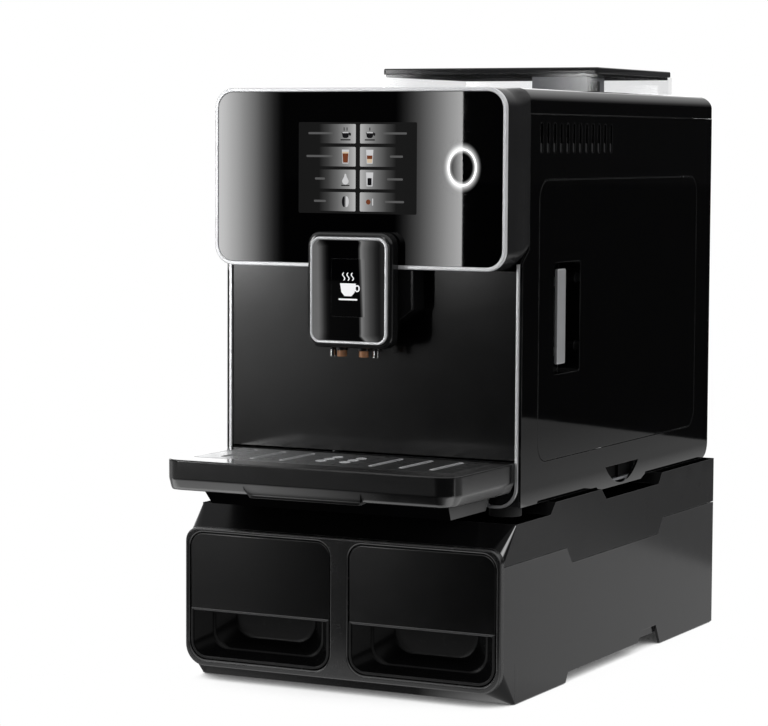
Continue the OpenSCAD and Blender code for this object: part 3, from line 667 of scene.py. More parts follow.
def clear(name, tint, tint_vary, rough, haze, haze_colour):
    """thin clear or smoked plastic: see-through with a fresnel gloss and faint scuffs"""
    t = Nodes(name)
    fresnel = t.node("Fresnel", {"IOR": 1.49}).outputs[0]
    streaks = t.noise(t.coords((1, 30, 6), (0.2, 0.3, 0.6)), scale=90, detail=2)
    scuffs = t.remap(streaks, 0.64, 0.8)
    patches = t.noise(t.coords(), scale=22, detail=3)
    through = t.node("BsdfTransparent",
                     {0: t.blend(patches, tint, [c * (1 - tint_vary) for c in tint])})
    gloss = t.node("BsdfGlossy", {"Color": WHITE, "Roughness": t.plus(rough,
                                                                      t.times(scuffs, 0.25))})
    front = t.minus(1.0, t.node("NewGeometry").outputs["Backfacing"])
    clean = t.node("MixShader", {0: t.times(fresnel, front), 1: through, 2: gloss})
    facing = t.node("LayerWeight", {"Blend": 0.5}).outputs["Facing"]
    edge_on = t.remap(facing, 0.80, 0.97, 0.0, 0.5)
    amount = t.plus(t.plus(haze, edge_on), t.times(scuffs, 0.04))
    t.done(t.node("MixShader", {0: amount, 1: clean,
                                2: t.node("BsdfDiffuse", {0: haze_colour})}))


clear("hopper_clear", tint=(0.985, 0.986, 0.988), tint_vary=0.01, rough=0.04,
      haze=0.006, haze_colour=(0.12, 0.12, 0.122))
clear("lid_smoke", tint=(0.22, 0.22, 0.225), tint_vary=0.3, rough=0.06,
      haze=0.22, haze_colour=(0.03, 0.03, 0.031))

# ------------------------------------------------------------------ CAD nodes
# edge radius in mm: the nodes that get it
EDGE_GROUPS = {
    0.15: "head_glass",
    0.2: "control_board door_hinge_pins",
    0.25: "ring_light",
    0.3: "grind_knob inner_partition bottom_plate door_hinge_brackets milk_nozzles",
    0.35: "coffee_nozzles rear_screws",
    0.4: "right_side_panel front_lower_panel backsplash rocker_switch power_supply"
         " guide_rods ring_burr cone_burr",
    0.5: "left_side_panel bean_hopper brew_frame brew_piston power_inlet spout_carriage"
         " guide_brackets",
    0.55: "trim_strips",
    0.6: "powder_chute coffee_chute",
    0.7: "top_cover door_panel",
    0.8: "head_shell grinder_body brew_chamber left_drawer_box right_drawer_box",
    0.9: "base_cabinet head_bezel spout_housing rubber_feet water_pump",
    1.0: "tray_frame grinder_motor",
    1.2: "base_top_frame drip_pan boiler",
}
EDGE_RADII = {name: radius for radius, names in EDGE_GROUPS.items() for name in names.split()}

# each node wears the finish of its material slot, except these
FINISHES = {part["node"]: part["material_slot"] for part in frame["record"]["subparts"]}
FINISHES.update({
    "backsplash": "splash_black", "head_shell": "collar_black", "power_button": "glass_black",
    "right_side_panel": "door_black", "door_panel": "door_black",
    "base_top_frame": "top_frame_black",
})


def add_edge_bevel(obj, radius):
    bevel = obj.modifiers.new("edge", "BEVEL")
    bevel.width = radius / 1000
    bevel.segments = 3
    bevel.limit_method = "ANGLE"
    bevel.angle_limit = math.radians(32)
    bevel.use_clamp_overlap = True
    bevel.miter_outer = "MITER_ARC"
    bevel.harden_normals = False


for name, obj in frame["nodes"].items():
    data = obj.data
    data.materials.clear()
    data.materials.append(materials[FINISHES[name]])
    if data.has_custom_normals and "custom_normal" in data.attributes:
        data.attributes.remove(data.attributes["custom_normal"])
    obj.modifiers.new("weld", "WELD").merge_threshold = 2e-6
    if name != "rear_panel":
        planar = obj.modifiers.new("planar", "DECIMATE")
        planar.decimate_type = "DISSOLVE"
        planar.angle_limit = math.radians(0.35)
    if name in EDGE_RADII:
        add_edge_bevel(obj, EDGE_RADII[name])
    for face in data.polygons:
        face.use_smooth = True
    if "sharp_edge" in data.attributes:
        data.attributes.remove(data.attributes["sharp_edge"])
    add_weighted_normals(obj)

# ------------------------------------------------------------------ display on the head
GLASS_FRONT = HEAD_FRONT + 0.5
# top and bottom z of the key rows, and the x ranges of their left and right bars
KEY_ROWS = [
    (512.3, 495.0, (-49.8, -24.6), (25.9, 49.8)),
    (491.8, 474.3, (-51.7, -24.6), (33.0, 46.0)),
    (471.4, 454.2, (-42.9, -32.6), (30.2, 46.1)),
    (451.2, 434.1, (-43.9, -31.5), (28.3, 47.3)),
]
MARK_FRONT, MARK_BACK = GLASS_FRONT - 0.16, GLASS_FRONT - 0.08
BAR_HEIGHT, BAR_RAISE = 1.9, 0.4

mesh = bmesh.new()
plate(mesh, "xz", [rounded(0, 473, 119.5, 82, 1.2, 4)],
      GLASS_FRONT - 0.06, GLASS_FRONT + 0.3, round_start=0.03)
finish("screen_window", mesh, "screen", "machine")

for side, (left, right) in KEY_COLUMNS.items():
    mesh = bmesh.new()
    for top, bottom, *_ in KEY_ROWS:
        key = rounded((left + right) / 2, (top + bottom) / 2, right - left, top - bottom, 1.0, 4)
        plate(mesh, "xz", [key], GLASS_FRONT - 0.11, GLASS_FRONT - 0.03, round_start=0.03)
    finish("screen_keys_" + side, mesh, "key_" + side, "machine")

mesh = bmesh.new()
for top, bottom, *bars in KEY_ROWS:
    for left, right in bars:
        bar = rounded((left + right) / 2, (top + bottom) / 2 + BAR_RAISE,
                      right - left, BAR_HEIGHT, 0.9, 4)
        plate(mesh, "xz", [bar], MARK_FRONT, MARK_BACK)
finish("screen_key_bars", mesh, "bar_grey", "machine", weighted=False)

# Drinks symbols: parts of (finish, outline about the symbol's centre, height above the mark)
ICON_SCALE = 1.22
ICON_X = (-11.8, 12.7)
RAISED = 0.02


def taper(half_top, half_bottom, top, bottom):
    return [(-half_top, top), (half_top, top), (half_bottom, bottom), (-half_bottom, bottom)]


def drop_outline():
    loop = []
    for i in range(20):
        angle = math.radians(-90 + 360 * i / 20)
        rise = max(0, math.sin(angle))
        reach = 2.7 + (2.6 if rise > 0.9 else 0.9 * rise)
        loop.append((2.7 * math.cos(angle) * (1 - 0.35 * rise), -1.2 + reach * math.sin(angle)))
    return loop


def bean_outline():
    """right half of the bean"""
    angles = [math.radians(-90 + 180 * i / 14) for i in range(1, 14)]
    arc = [(1.0 + 1.9 * max(0, math.cos(a)), 4.0 * math.sin(a)) for a in angles]
    return [(0.45, -3.9)] + arc + [(0.45, 3.9)]


cup = [
    ("dark", [(-3.2, 1.2), (3.2, 1.2), (2.4, -2.4), (1.2, -3.2), (-1.2, -3.2), (-2.4, -2.4)], 0),
    ("dark", rounded(0, -4.5, 8.4, 0.9, 0.4, 3), 0),
    ("dark", rounded(3.7, -0.4, 1.6, 2.2, 0.7, 3), 0),
    ("soft", rounded(0, 0.8, 5.2, 0.7, 0.3, 3), RAISED),
]
cup_one_jet = cup + [("dark", rounded(0, 3.4, 0.8, 2.4, 0.3, 3), 0)]
cup_two_jets = cup + [("dark", rounded(x, 3.4, 0.7, 2.6, 0.3, 3), 0) for x in (-1.2, 1.2)]
glass = [("soft", taper(3.0, 2.4, 5.2, -5.0), 0)]
glass_brown = glass + [("brown", taper(2.5, 2.0, 2.4, -4.4), RAISED),
                       ("cream", taper(2.6, 2.5, 3.6, 2.4), RAISED)]
glass_layered = glass + [("brown", taper(2.3, 2.2, 1.0, -1.6), RAISED),
                         ("cream", taper(2.2, 2.0, -1.6, -4.4), RAISED)]
glass_water = glass + [("dark", rounded(0, -1.6, 3.4, 5.4, 0.5, 3), RAISED)]
drop = [("soft", drop_outline(), 0), ("dark", rounded(0, -4.6, 7.0, 0.8, 0.3, 3), 0)]
bean = [("dark", [(-x, z) for x, z in bean_outline()[::-1]], 0), ("soft", bean_outline(), 0)]
dot = [("brown", circle(-1.0, 0, 1.9, 20), 0), ("soft", rounded(2.6, 0, 0.8, 5.2, 0.3, 3), 0)]
ICON_ROWS = [(cup_two_jets, cup_one_jet), (glass_brown, glass_layered),
             (drop, glass_water), (bean, dot)]

icon_meshes = {tone: bmesh.new() for tone in ("soft", "dark", "brown", "cream")}
for (top, bottom, *_), icons in zip(KEY_ROWS, ICON_ROWS):
    middle = (top + bottom) / 2
    for centre, icon in zip(ICON_X, icons):
        for tone, loop, height in icon:
            loop = [(centre + x * ICON_SCALE, middle + z * ICON_SCALE) for x, z in loop]
            plate(icon_meshes[tone], "xz", [loop], MARK_FRONT - height, MARK_BACK)
for tone, mesh in icon_meshes.items():
    finish("screen_icon_" + tone, mesh, "icon_" + tone, "machine",
           weighted=False)


# lit ring, its black surround and a film in front that carries the glow
def ring_band(name, outer, inner, front, back, rounding, material, replaces=None):
    """band between two ellipses, each given as (x radius, z radius)"""
    mesh = bmesh.new()
    loops = [ellipse(RING_X, RING_Z, *radii, 72) for radii in (outer, inner)]
    plate(mesh, "xz", loops, GLASS_FRONT + front, GLASS_FRONT + back, round_start=rounding)
    finish(name, mesh, material, "machine", replaces=replaces)


ring_band("ring_surround", (19.5, 19.5), (12.8, 13.3), -0.07, 0.25, 0.03, "glass_black")
ring_band("ring_lens", (14.0, 16.6), (12.62, 15.3), -0.16, 0.2, 0.05, "ring_white",
          replaces="ring_light")
mesh = bmesh.new()
plate(mesh, "xz", [circle(104.7, 474.3, 25, 64)], GLASS_FRONT - 0.26, GLASS_FRONT - 0.22)
glow = finish("ring_glow", mesh, "ring_halo", "machine", weighted=False)
glow.visible_shadow = False

# flared collar that carries the head's walls out to the casing
# y, width, height, centre z, corner radius; the last two stations close it on the inside
COLLAR = [
    (-10.0, 294.4, 161.4, 464.0, 18.8), (-6.0, 294.9, 161.5, 464.0, 18.6),
    (0.0, 296.4, 160.6, 464.3, 17.6), (5.0, 298.8, 157.6, 465.8, 16.0),
    (9.5, 300.8, 153.2, 468.0, 14.4), (12.2, 301.5, 150.4, 469.4, 13.4),
    (14.0, 301.7, 149.4, 469.9, 13.1),
    (13.6, 296.0, 144.0, 469.9, 11.0), (-9.6, 290.0, 156.0, 464.0, 16.0),
]
mesh = bmesh.new()
skin(mesh, [[point(x, y, z) for x, z in rounded(0, middle, width, height, radius, 12)]
            for y, width, height, middle, radius in COLLAR], closed=True)
finish("head_collar", mesh, "collar_black", "machine")

# ------------------------------------------------------------------ spout
SPOUT_Z = 363.5
# (inset, y) from the back of the spout body to its front
SPOUT_PROFILE = [
    (0.6, -30.4), (0.15, -30.6), (0, -31.1), (0, -39.2), (0.12, -40.3), (0.5, -41.3),
    (1.1, -42.1), (2.0, -42.7), (3.0, -43.0),
]
# (inset, y) round the silver rim's section
RIM_SECTION = [
    (0, -42.4), (0.0, -44.3), (0.2, -44.9), (0.6, -45.25), (1.7, -45.3), (2.2, -45.0),
    (2.5, -44.5), (2.55, -42.4),
]
NOZZLE_COLLARS = [(11, -35, 5.6), (21.7, -32, 4.2)]     # x on each side, y, radius

mesh = bmesh.new()
shaped_plate(mesh, "xz", [rounded(0, 363.65, 86, 104.3, 12, 12)], SPOUT_PROFILE)
plate(mesh, "xz", [rounded(0, 343.5, 68, 55, 4, 6)], -31.6, -22.5, 0.3, 1.2, steps=3)
for side in (-1, 1):
    for x, y, radius in NOZZLE_COLLARS:
        plate(mesh, "xy", [circle(side * x, y, radius, 32)], 309.3, 312.6,
              round_start=0.7, steps=3)
finish("spout_body", mesh, "spout_black", "spout", replaces="spout_shell")

mesh = bmesh.new()
hoop(mesh, "xz", rounded(0, SPOUT_Z, 77.4, 95.8, 9.8, 14), RIM_SECTION)
finish("spout_rim_ring", mesh, "rim_silver", "spout", replaces="spout_rim")

# grey level mirrored in the spout glass against x (mm) on the plane of the light cards
SPOUT_SHEEN = [
    (-1125, 101), (-1105, 101), (-1099, 76), (-1093, 42), (-1087, 14), (-1081, 0), (-1020, 0),
    (-1017, 60), (-1014, 118), (-1007, 93), (-996, 63), (-984, 33), (-977, 20), (-970, 34),
    (-960, 34),
]


def spout_glass():
    """black glass whose upright sheen follows the direction in which it mirrors the room"""
    t = Nodes("spout_glass_black")
    mirrored = t.texture_axes("Reflection")
    position = t.normal_axes("Position")
    reach = t.math("DIVIDE", t.minus(CARD_Y, position[1]),
                   t.math("MINIMUM", mirrored[1], -0.02))
    x = t.plus(position[0], t.times(mirrored[0], reach))
    # the sheen leans: its shift grows downwards from z = 0.395
    shift = t.plus(0.0022, t.times(t.minus(0.395, position[2]), 0.092))
    sheen = t.piecewise(t.minus(x, shift), light_stops(SPOUT_SHEEN), keep_level=False)
    sheen = t.math("MAXIMUM", sheen, 0.0)
    mottle = t.remap(t.noise(t.coords(), scale=60, detail=3), 0.3, 0.7, 0.97, 1.03)
    t.done(t.glowing(WHITE, strength=t.times(sheen, mottle), base=(0.0006, 0.0006, 0.0007),
                     rough=0.02, spec=0.06))


spout_glass()
mesh = bmesh.new()
plate(mesh, "xz", [rounded(0, SPOUT_Z, 72.4, 90.6, 7.3, 12)], -45.0, -42.2,
      round_start=0.25, steps=2)
finish("spout_face", mesh, "spout_glass_black", "spout",
       replaces="spout_glass")
mesh = bmesh.new()
plate(mesh, "xz", [rounded(0, 366, 34, 52, 1.0, 4)], -45.06, -44.2, round_start=0.03)
finish("spout_screen", mesh, "spout_glass_black", "spout",
       replaces="spout_display")

# steaming cup symbol
SYMBOL_FRONT, SYMBOL_BACK = -45.22, -45.1
STEAM_PITCH, STEAM_SWAY, STEAM_HALF = 4.4, 1.1, 0.55
STEAM_BOTTOM, STEAM_HEIGHT = 372.6, 7
CUP_BOWL = [(-8, 370), (-6.6, 362), (-3.4, 358.6), (3.4, 358.6), (6.6, 362), (8, 370)]


def steam_side(middle, heights, half):
    return [(middle + STEAM_SWAY * math.sin(t * math.pi * 2) + half,
             STEAM_BOTTOM + STEAM_HEIGHT * t) for t in heights]


mesh = bmesh.new()
for loop in (CUP_BOWL, rounded(0, 355.6, 19, 1.5, 0.7, 4)):
    plate(mesh, "xz", [loop], SYMBOL_FRONT, SYMBOL_BACK)
hoop(mesh, "xz", rounded(9.2, 365.6, 5.2, 6.2, 2.5, 6),
     [(0, SYMBOL_FRONT), (1.2, SYMBOL_FRONT), (1.2, SYMBOL_BACK), (0, SYMBOL_BACK)])
heights = [i / 10 for i in range(11)]
for k in (-1, 0, 1):
    loop = (steam_side(k * STEAM_PITCH, heights, STEAM_HALF)
            + steam_side(k * STEAM_PITCH, heights[::-1], -STEAM_HALF))
    plate(mesh, "xz", [loop], SYMBOL_FRONT, SYMBOL_BACK)
finish("spout_symbol", mesh, "icon_white", "spout", weighted=False)

# ------------------------------------------------------------------ drawers
DRAWER_WIDTH = 145
DRAWER_INNER, DRAWER_OUTER = DRAWER_X - DRAWER_WIDTH / 2, DRAWER_X + DRAWER_WIDTH / 2
DRAWER_BOTTOM, DRAWER_TOP = 20.35, 137.15
DRAWER_GAP = 0.75
PANEL_BOTTOM = 66.2                  # the panel ends here, above the scooped pocket
RADIUS_BOTTOM, RADIUS_TOP = 16.3, 13.3

# (inset, y) of the upper panel
PANEL_PROFILE = [(0.5, -56.2), (0.0, -56.7), (0, -59.0), (0.18, -59.6), (0.6, -60.05),
                 (1.2, -60.2)]
# side inset, bottom inset, radius beyond RADIUS_BOTTOM, top z, y: from the back of the shell
# over its front edge and into the pocket
POCKET = [
    (0.0, 0.0, 0.0, 86.0, -24.0), (0.0, 0.0, 0.0, 86.0, -56.1), (0.0, 0.0, 0.0, 66.0, -56.1),
    (0.0, 0.0, 0.0, 66.0, -59.3), (0.25, 0.25, 0.0, 66.0, -59.9), (0.9, 0.9, -0.9, 66.0, -60.2),
    (2.0, 2.0, -2.0, 66.0, -60.2), (2.7, 2.7, -2.6, 66.1, -59.9), (2.9, 2.8, -2.6, 66.3, -59.2),
    (3.5, 3.1, -2.4, 68.0, -58.2), (8.7, 5.0, -1.0, 75.0, -51.4), (13.9, 6.9, 0.0, 80.0, -44.6),
    (14.5, 7.3, 0.0, 80.4, -44.0), (15.4, 7.9, 0.0, 80.6, -43.6), (16.6, 8.7, 0.4, 80.8, -43.3),
    (17.4, 9.3, 0.8, 81.0, -42.8), (18.0, 9.7, 1.0, 81.1, -42.0), (24.0, 12.7, 2.4, 81.6, -35.6),
    (29.8, 15.6, 3.6, 82.0, -29.4), (30.8, 16.3, 3.8, 82.0, -28.5),
    (32.4, 17.4, 4.0, 82.0, -27.8), (36.0, 19.5, 4.0, 82.0, -27.4),
]


def pocket_outline(left, right, bottom, top, radius):
    """U shape with round lower corners, counter-clockwise from the upper left"""
    middle = (top + bottom) / 2
    return ([(left, top), (left, middle)]
            + quarter(left + radius, bottom + radius, radius, 180, 8)
            + [((left + right) / 2, bottom)]
            + quarter(right - radius, bottom + radius, radius, 270, 8)
            + [(right, middle), (right, top)])


def drawer(side, sign):
    """upper panel, the rolled lip under it and the scooped pocket shell"""
    body = side + "_drawer"
    panel = rounded(DRAWER_X, (DRAWER_TOP + PANEL_BOTTOM) / 2, DRAWER_WIDTH,
                    DRAWER_TOP - PANEL_BOTTOM, [0.6, RADIUS_TOP, RADIUS_TOP, 0.6], 10)
    mesh = bmesh.new()
    shaped_plate(mesh, "xz", [[(sign * x, z) for x, z in panel]], PANEL_PROFILE)
    finish(body + "_panel", mesh, "drawer_panel", body, smooth=38)

    mesh = bmesh.new()
    stations = [(DRAWER_INNER + 1.0, 0.6), (DRAWER_INNER + 1.6, 1.0),
                (DRAWER_OUTER - 1.6, 1.0), (DRAWER_OUTER - 1.0, 0.6)]    # x, section scale
    loft(mesh, [[point(sign * x, y, z)
                 for y, z in ellipse(-57.9, PANEL_BOTTOM, 1.9 * scale, 1.5 * scale, 14)]
                for x, scale in stations])
    finish(body + "_lip", mesh, "lip_painted_highlight", body, smooth=38)

    mesh = bmesh.new()
    rings = []
    for side_inset, bottom_inset, extra, top, y in POCKET:
        outline = pocket_outline(DRAWER_INNER + side_inset, DRAWER_OUTER - side_inset,
                                 DRAWER_BOTTOM + bottom_inset, top, RADIUS_BOTTOM + extra)
        rings.append([point(sign * x, y, z) for x, z in outline])
    loft(mesh, rings)
    finish(body + "_face", mesh, "drawer_black", body,
           replaces=body + "_front", smooth=38)


drawer("left", -1)
drawer("right", 1)

# front frame of the base: rounded rim and openings
RIM_PROFILE = [(0, -54.2), (0, -59.2), (0.15, -59.9), (0.5, -60.5), (1.1, -60.9), (1.7, -61.0)]
mesh = bmesh.new()
openings = [rounded(side * DRAWER_X, (DRAWER_TOP + DRAWER_BOTTOM) / 2,
                    DRAWER_WIDTH + 2 * DRAWER_GAP, DRAWER_TOP - DRAWER_BOTTOM + 2 * DRAWER_GAP,
                    [17, 14, 14, 17], 10) for side in (-1, 1)]
shaped_plate(mesh, "xz", [rounded(0, 77.75, 320, 128.5, [20, 13, 13, 20], 12)] + openings,
             RIM_PROFILE)
finish("base_front_rim", mesh, "rim_black", "machine",
       replaces="base_front_frame")

# ------------------------------------------------------------------ drip tray
TRAY_HALF, TRAY_FRONT, TRAY_BACK, TRAY_RADIUS = 145.3, -127.0, -2.0, 18.6
GRID_Y = -54.5                       # middle of the opening and of the grid
OPENING_WIDTH, OPENING_DEPTH = 252, 85
# (inset, z) of the outer wall, from below
TRAY_WALL = [
    (12.0, 184.0), (7.0, 184.1), (5.4, 184.6), (4.2, 185.7), (3.2, 187.4), (1.4, 191.6),
    (0.6, 193.2), (0.15, 194.4), (0, 195.4), (0, 210.4), (0.15, 211.2), (0.5, 211.7),
    (1.1, 211.95), (1.7, 212.0),
]
# (inset, z) of the opening; negative insets widen it
OPENING_WALL = [(0.0, 189.0), (0.0, 210.0), (-2.2, 210.25), (-2.2, 211.4), (-2.3, 211.8),
                (-2.7, 212.0)]


def tray_outline(inset):
    """straight back edge and round front corners; the left end leans further out"""
    half, centre = TRAY_HALF - inset, TRAY_HALF - TRAY_RADIUS
    radius, corner_y = TRAY_RADIUS - inset, TRAY_FRONT + TRAY_RADIUS
    loop = ([(-half, TRAY_BACK)] + quarter(-centre, corner_y, radius, 180, 12)
            + quarter(centre, corner_y, radius, 270, 12) + [(half, TRAY_BACK)])
    return [(x - 0.55 * inset * min(1.0, max(0.0, (-x - centre) / (TRAY_RADIUS - 12.0))), y)
            for x, y in loop]


mesh = bmesh.new()
outer = skin(mesh, [[point(x, y, z) for x, y in tray_outline(inset)] for inset, z in TRAY_WALL])
inner = skin(mesh, [[point(x, y, z)
                     for x, y in rounded(0, GRID_Y, OPENING_WIDTH - 2 * inset,
                                         OPENING_DEPTH - 2 * inset, 2.2, 5)]
                    for inset, z in OPENING_WALL])
fill(mesh, [outer[0], inner[0]])
fill(mesh, [outer[-1], inner[-1]])
finish("tray_body", mesh, "tray_black", "drip_tray", replaces="tray_frame")

# grip lip under the front edge: y, bottom z, top z
LIP_STATIONS = [(-121.6, 183.8, 190.0), (-125.2, 182.9, 192.4), (-126.2, 182.5, 193.3),
                (-125.6, 182.1, 193.4), (-118.0, 182.1, 193.4), (-110.0, 183.0, 192.0)]
mesh = bmesh.new()
rings = []
for y, bottom, top in LIP_STATIONS:
    outline = [(-61.5, top), (-60.6, bottom + 6.5), (-54.5, bottom), (0, bottom),
               (54.0, bottom), (55.5, bottom + 1.5), (55.5, top), (0, top)]
    rings.append([point(x, y, z) for x, z in outline])
loft(mesh, rings)
finish("tray_grip_lip", mesh, "tray_lip", "drip_tray")

# grid plate with pressed slots, and six round holes in the middle
GRID_X = -1
SLOTS = [GRID_X + offset for offset in (-105, -75, -45, 45, 75, 105)]
HOLES = [(GRID_X + side * 12.0, GRID_Y + offset) for side in (-1, 1) for offset in (-16, 0, 16)]
# (inset, z) round the sections of the raised rims
SLOT_RIM = [(0, 212.05), (0.2, 212.3), (0.6, 212.45), (1.0, 212.3), (1.2, 212.05),
            (1.2, 211.6), (0, 211.6)]
HOLE_RIM = [(0, 212.05), (0.3, 212.4), (0.75, 212.6), (1.2, 212.4), (1.5, 212.05),
            (1.5, 211.6), (0, 211.6)]

mesh = bmesh.new()
cuts = [rounded(x, GRID_Y, 3.4, 61, 1.65, 6) for x in SLOTS]
cuts += [circle(x, y, 4.2, 24) for x, y in HOLES]
plate(mesh, "xy", [rounded(0, GRID_Y, 255.4, 88.4, 1.8, 5)] + cuts, 210.35, 212.1,
      0.25, 0.35, steps=3)
finish("grid_plate", mesh, "grid_steel", "drip_grid", replaces="drip_grid")

mesh = bmesh.new()
for x in SLOTS:
    hoop(mesh, "xy", rounded(x, GRID_Y, 5.8, 63.4, 2.85, 7), SLOT_RIM)
for x, y in HOLES:
    hoop(mesh, "xy", circle(x, y, 5.4, 32), HOLE_RIM)
finish("grid_slot_rims", mesh, "slot_rim", "drip_grid")

# ------------------------------------------------------------------ right side
# door handle: a bar on two flared posts
POST_Y = 88.7
POST_STATIONS = [(129.2, 5.2), (131, 4.0), (147.4, 4.0)]     # x, radius
POST_TURN = math.atan(0.0321)                                # turns the posts' facets
mesh = bmesh.new()
plate(mesh, "yz", [rounded(88.9, 338.3, 18.4, 87.0, 2.0, 6)], 147.2, 150.4, 0.5, 0.8, steps=4)
angles = [2 * math.pi * k / 20 + POST_TURN for k in range(20)]
for z in (306, 370):
    loft(mesh, [[point(x, POST_Y - radius * math.cos(a), z + radius * math.sin(a))
                 for a in angles] for x, radius in POST_STATIONS])
finish("door_handle", mesh, "handle_silver", "service_door",
       replaces="door_handle_bar")

# dark liner behind the side grip, with an upright rib
GRIP_Y, GRIP_Z, GRIP_HEIGHT = 238, 181, 22
mesh = bmesh.new()
plate(mesh, "yz", [rounded(GRIP_Y, GRIP_Z, 76, GRIP_HEIGHT, 1.0, 4)], 143.5, 145.0,
      round_end=0.3, steps=2)
plate(mesh, "yz", [rounded(GRIP_Y, GRIP_Z, 3.0, GRIP_HEIGHT, 0.4, 3)], 144.5, 147.6,
      round_end=0.3, steps=2)
finish("grip_liner", mesh, "liner_black", "machine")

# lower lips of the side vents
VENT_COUNT, VENT_START, VENT_PITCH = 12, 39.5, 14.74
mesh = bmesh.new()
for i in range(VENT_COUNT):
    plate(mesh, "yz", [rounded(VENT_START + VENT_PITCH * i, 492.0, 4.2, 8.6, 2.0, 5)],
          148.6, 150.1, round_end=0.4, steps=2)
finish("vent_lips", mesh, "bracket_dark", "machine")

# ------------------------------------------------------------------ hopper lid
# (inset, z) round the section of the rim under the lid
LID_RIM = [(0, 561.2), (0.3, 561.0), (2.2, 561.0), (2.5, 561.2), (2.5, 564.1), (0, 564.1)]
mesh = bmesh.new()
plate(mesh, "xy", [rounded(0.25, 346.4, 233.5, 193.6, 3.5, 7)], 564.0, 569.6,
      0.5, 1.4, steps=4)
hoop(mesh, "xy", rounded(0, 346.25, 229.2, 188.7, 2.0, 5), LID_RIM)
finish("hopper_lid_panel", mesh, "lid_smoke", "hopper_lid",
       replaces="hopper_lid")


# ------------------------------------------------------------------ floor and light cards
def floor_reflection(t):
    """brightness of the floor as the machine mirrors it"""
    axes = t.texture_axes()
    x, y = axes[0], t.minus(axes[1], ORIGIN_Y / 1000)
    # in front of the machine it falls off to the right
    front = t.math("MAXIMUM", t.remap(x, -1.05, 0.0, 0.62, 0.05), 0.0)
    front = t.times(t.math("POWER", front, 1.25), t.remap(y, -1.80, -1.74))
    # bright strip across, just in front of the casing
    strip = t.times(t.remap(y, -0.23, -0.20), t.remap(y, -0.05, -0.07))
    strip = t.times(strip, 1.7)
    # right-hand side, darker behind a slanting line, with a brighter band near x = 0.66
    slant = t.minus(y, t.plus(t.times(x, 0.96), 0.548))
    side = t.times(t.remap(x, 0.06, 0.16), t.remap(slant, -0.01, 0.02, 0.66, 0.31))
    side = t.times(t.times(side, t.remap(y, -0.5, 0.1)), t.remap(x, 0.80, 1.08, 1.0, 0.60))
    band = t.times(t.remap(x, 0.76, 0.66, 0.0, 1.8), t.remap(x, 0.60, 0.655))
    side = t.times(side, t.plus(1.0, band))
    # nearly black beyond a far slanting line
    distance = t.plus(t.times(x, -0.432), t.times(y, 0.902))
    far = t.remap(distance, 1.606, 1.613, 1.0, 0.03)
    return t.times(t.math("MAXIMUM", t.math("MAXIMUM", front, strip), side), far)


def floor_pale():
    """white floor with a soft contact shade for the camera"""
    t = Nodes("floor_pale")
    occlusion = t.node("AmbientOcclusion", {"Distance": 0.22}, samples=8).outputs["AO"]
    material = t.done(t.by_ray(camera=t.emission(t.remap(occlusion, 0.02, 0.42, 0.03, 1.0)),
                               glossy=t.emission(floor_reflection(t)),
                               other=t.emission(0.75)))
    material.cycles.emission_sampling = "NONE"
    return material


def quad(name, corners, material):
    data = bpy.data.meshes.new(name)
    data.from_pydata(corners, [], [(0, 1, 2, 3)])
    obj = bpy.data.objects.new(name, data)
    scene.collection.objects.link(obj)
    data.materials.append(material)
    return obj


FLOOR_HALF = 30
quad("floor", [(x * FLOOR_HALF, y * FLOOR_HALF, 0)
               for x, y in ((-1, -1), (1, -1), (1, 1), (-1, 1))], floor_pale())


def card(name, bottom, top, stops, dim=None):
    """upright card seen only in reflections; stops are (x, brightness) from left to right
    dim is (low z, high z, brightness left at the low z)"""
    t = Nodes(name)
    axes = t.texture_axes()
    brightness = t.piecewise(axes[0], stops)
    if dim:
        brightness = t.times(brightness, t.remap(axes[2], *dim, 1.0))
    left, right = stops[0][0], stops[-1][0]
    obj = quad(name, [(left, CARD_Y, bottom), (right, CARD_Y, bottom),
                      (right, CARD_Y, top), (left, CARD_Y, top)], t.done(t.emission(brightness)))
    obj.visible_camera = False
    obj.visible_shadow = False
    obj.visible_diffuse = False


# x in mm and the grey level wanted in a black gloss face
LEFT_LEVELS = [
    (-1800, 203), (-1307, 203), (-1295, 192), (-1283, 176), (-1271, 161), (-1259, 142),
    (-1247, 125), (-1235, 106), (-1223, 80), (-1211, 57), (-1199, 33), (-1187, 8), (-1178, 0),
]
RIGHT_LEVELS = [
    (-966, 0), (-956, 14), (-944, 35), (-933, 53), (-921, 71), (-910, 89), (-898, 106),
    (-887, 122), (-876, 137), (-864, 153), (-852, 165), (-844, 174), (-840, 178),
]
LOW_LEVELS = [(-1800, 90), (-1304, 73), (-1135, 50), (-1078, 40), (-983, 25), (-855, 15),
              (-777, 12), (-600, 6)]
card("card_left", bottom=0.27, top=0.80, stops=light_stops(LEFT_LEVELS, reflectance=0.045))
card("card_right", bottom=0.27, top=0.66, stops=light_stops(RIGHT_LEVELS, reflectance=0.045))
card("card_low", bottom=0.003, top=0.262, stops=light_stops(LOW_LEVELS, reflectance=0.047),
     dim=(0.0, 0.13, 0.5))


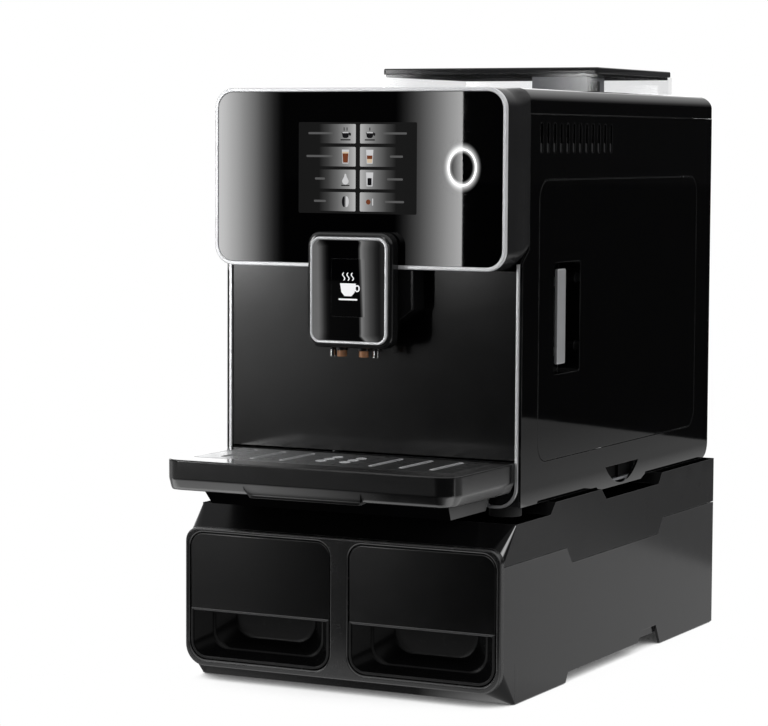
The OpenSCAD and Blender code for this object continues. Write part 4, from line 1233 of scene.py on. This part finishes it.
# ------------------------------------------------------------------ world
def build_world():
    """white to the camera; reflections see a brighter sky, a pale room and a small lamp"""
    world = bpy.data.worlds.new("world")
    scene.world = world
    t = Nodes("world", world, "OutputWorld")
    world.cycles.sampling_method = "NONE"
    x, y, z = t.texture_axes("Generated")

    def step(value, low, high):
        return t.math("MULTIPLY", t.minus(value, low), 1 / (high - low), clamp=True)

    sky = t.remap(z, 0.10, 0.5, 0.012, 1.0, interpolation_type="SMOOTHSTEP")
    # pale room behind and to the left, near the horizon
    left_back = t.times(step(x, 0.02, -0.12), step(y, 0.1, 0.4))
    low = t.times(step(z, -0.3, -0.1), step(z, 0.34, 0.2))
    room = t.times(t.times(left_back, low), 2.2)
    # small lamp high on the right
    toward = t.plus(t.plus(t.times(x, 0.507), t.times(y, 0.43)), t.times(z, 0.747))
    lamp = t.times(step(toward, 0.955, 0.985), 0.6)

    camera, glossy, other = [t.node("Background", {0: WHITE, 1: strength})
                             for strength in (1.0, t.plus(t.plus(sky, room), lamp), 0.6)]
    t.put(t.output, 0, t.by_ray(camera, glossy, other))


build_world()


# ------------------------------------------------------------------ lights
def area_light(name, location, target, size, power):
    """square soft light, not mirrored and not seen"""
    light = bpy.data.lights.new(name, "AREA")
    light.shape = "RECTANGLE"
    light.size = light.size_y = size
    light.energy = power
    obj = bpy.data.objects.new(name, light)
    scene.collection.objects.link(obj)
    obj.location = location
    obj.rotation_mode = "QUATERNION"
    obj.rotation_quaternion = (Vector(target) - Vector(location)).to_track_quat("-Z", "Y")
    obj.visible_glossy = False
    obj.visible_camera = False


area_light("key_soft", location=(-1.4, -1.6, 2.2), target=(0, 0, 0.3), size=1.6, power=60)
area_light("fill_right", location=(2.4, 0.3, 1.2), target=(0, 0, 0.2), size=1.4, power=45)

# ------------------------------------------------------------------ camera
AZIMUTH, TILT, ROLL = math.radians(26.967), math.radians(4.499), math.radians(0.315)
CAMERA_PLACE = point(1166.711, -2266.245, 496.128)

lens = bpy.data.cameras.new("camera")
camera = bpy.data.objects.new("camera", lens)
scene.collection.objects.link(camera)
lens.sensor_width = 36
lens.lens = 131.478
lens.clip_start = 0.05
lens.clip_end = 100

forward = Vector((-math.sin(AZIMUTH) * math.cos(TILT), math.cos(AZIMUTH) * math.cos(TILT),
                  -math.sin(TILT)))
level = Vector((math.cos(AZIMUTH), math.sin(AZIMUTH), 0))
upright = level.cross(forward)
right = level * math.cos(ROLL) + upright * math.sin(ROLL)
up = -level * math.sin(ROLL) + upright * math.cos(ROLL)
camera.matrix_world = Matrix((
    (right.x, up.x, -forward.x, CAMERA_PLACE.x),
    (right.y, up.y, -forward.y, CAMERA_PLACE.y),
    (right.z, up.z, -forward.z, CAMERA_PLACE.z),
    (0, 0, 0, 1)))
scene.camera = camera

view = scene.view_settings
view.view_transform = "Standard"
view.look = "None"
view.exposure = 0
view.gamma = 1
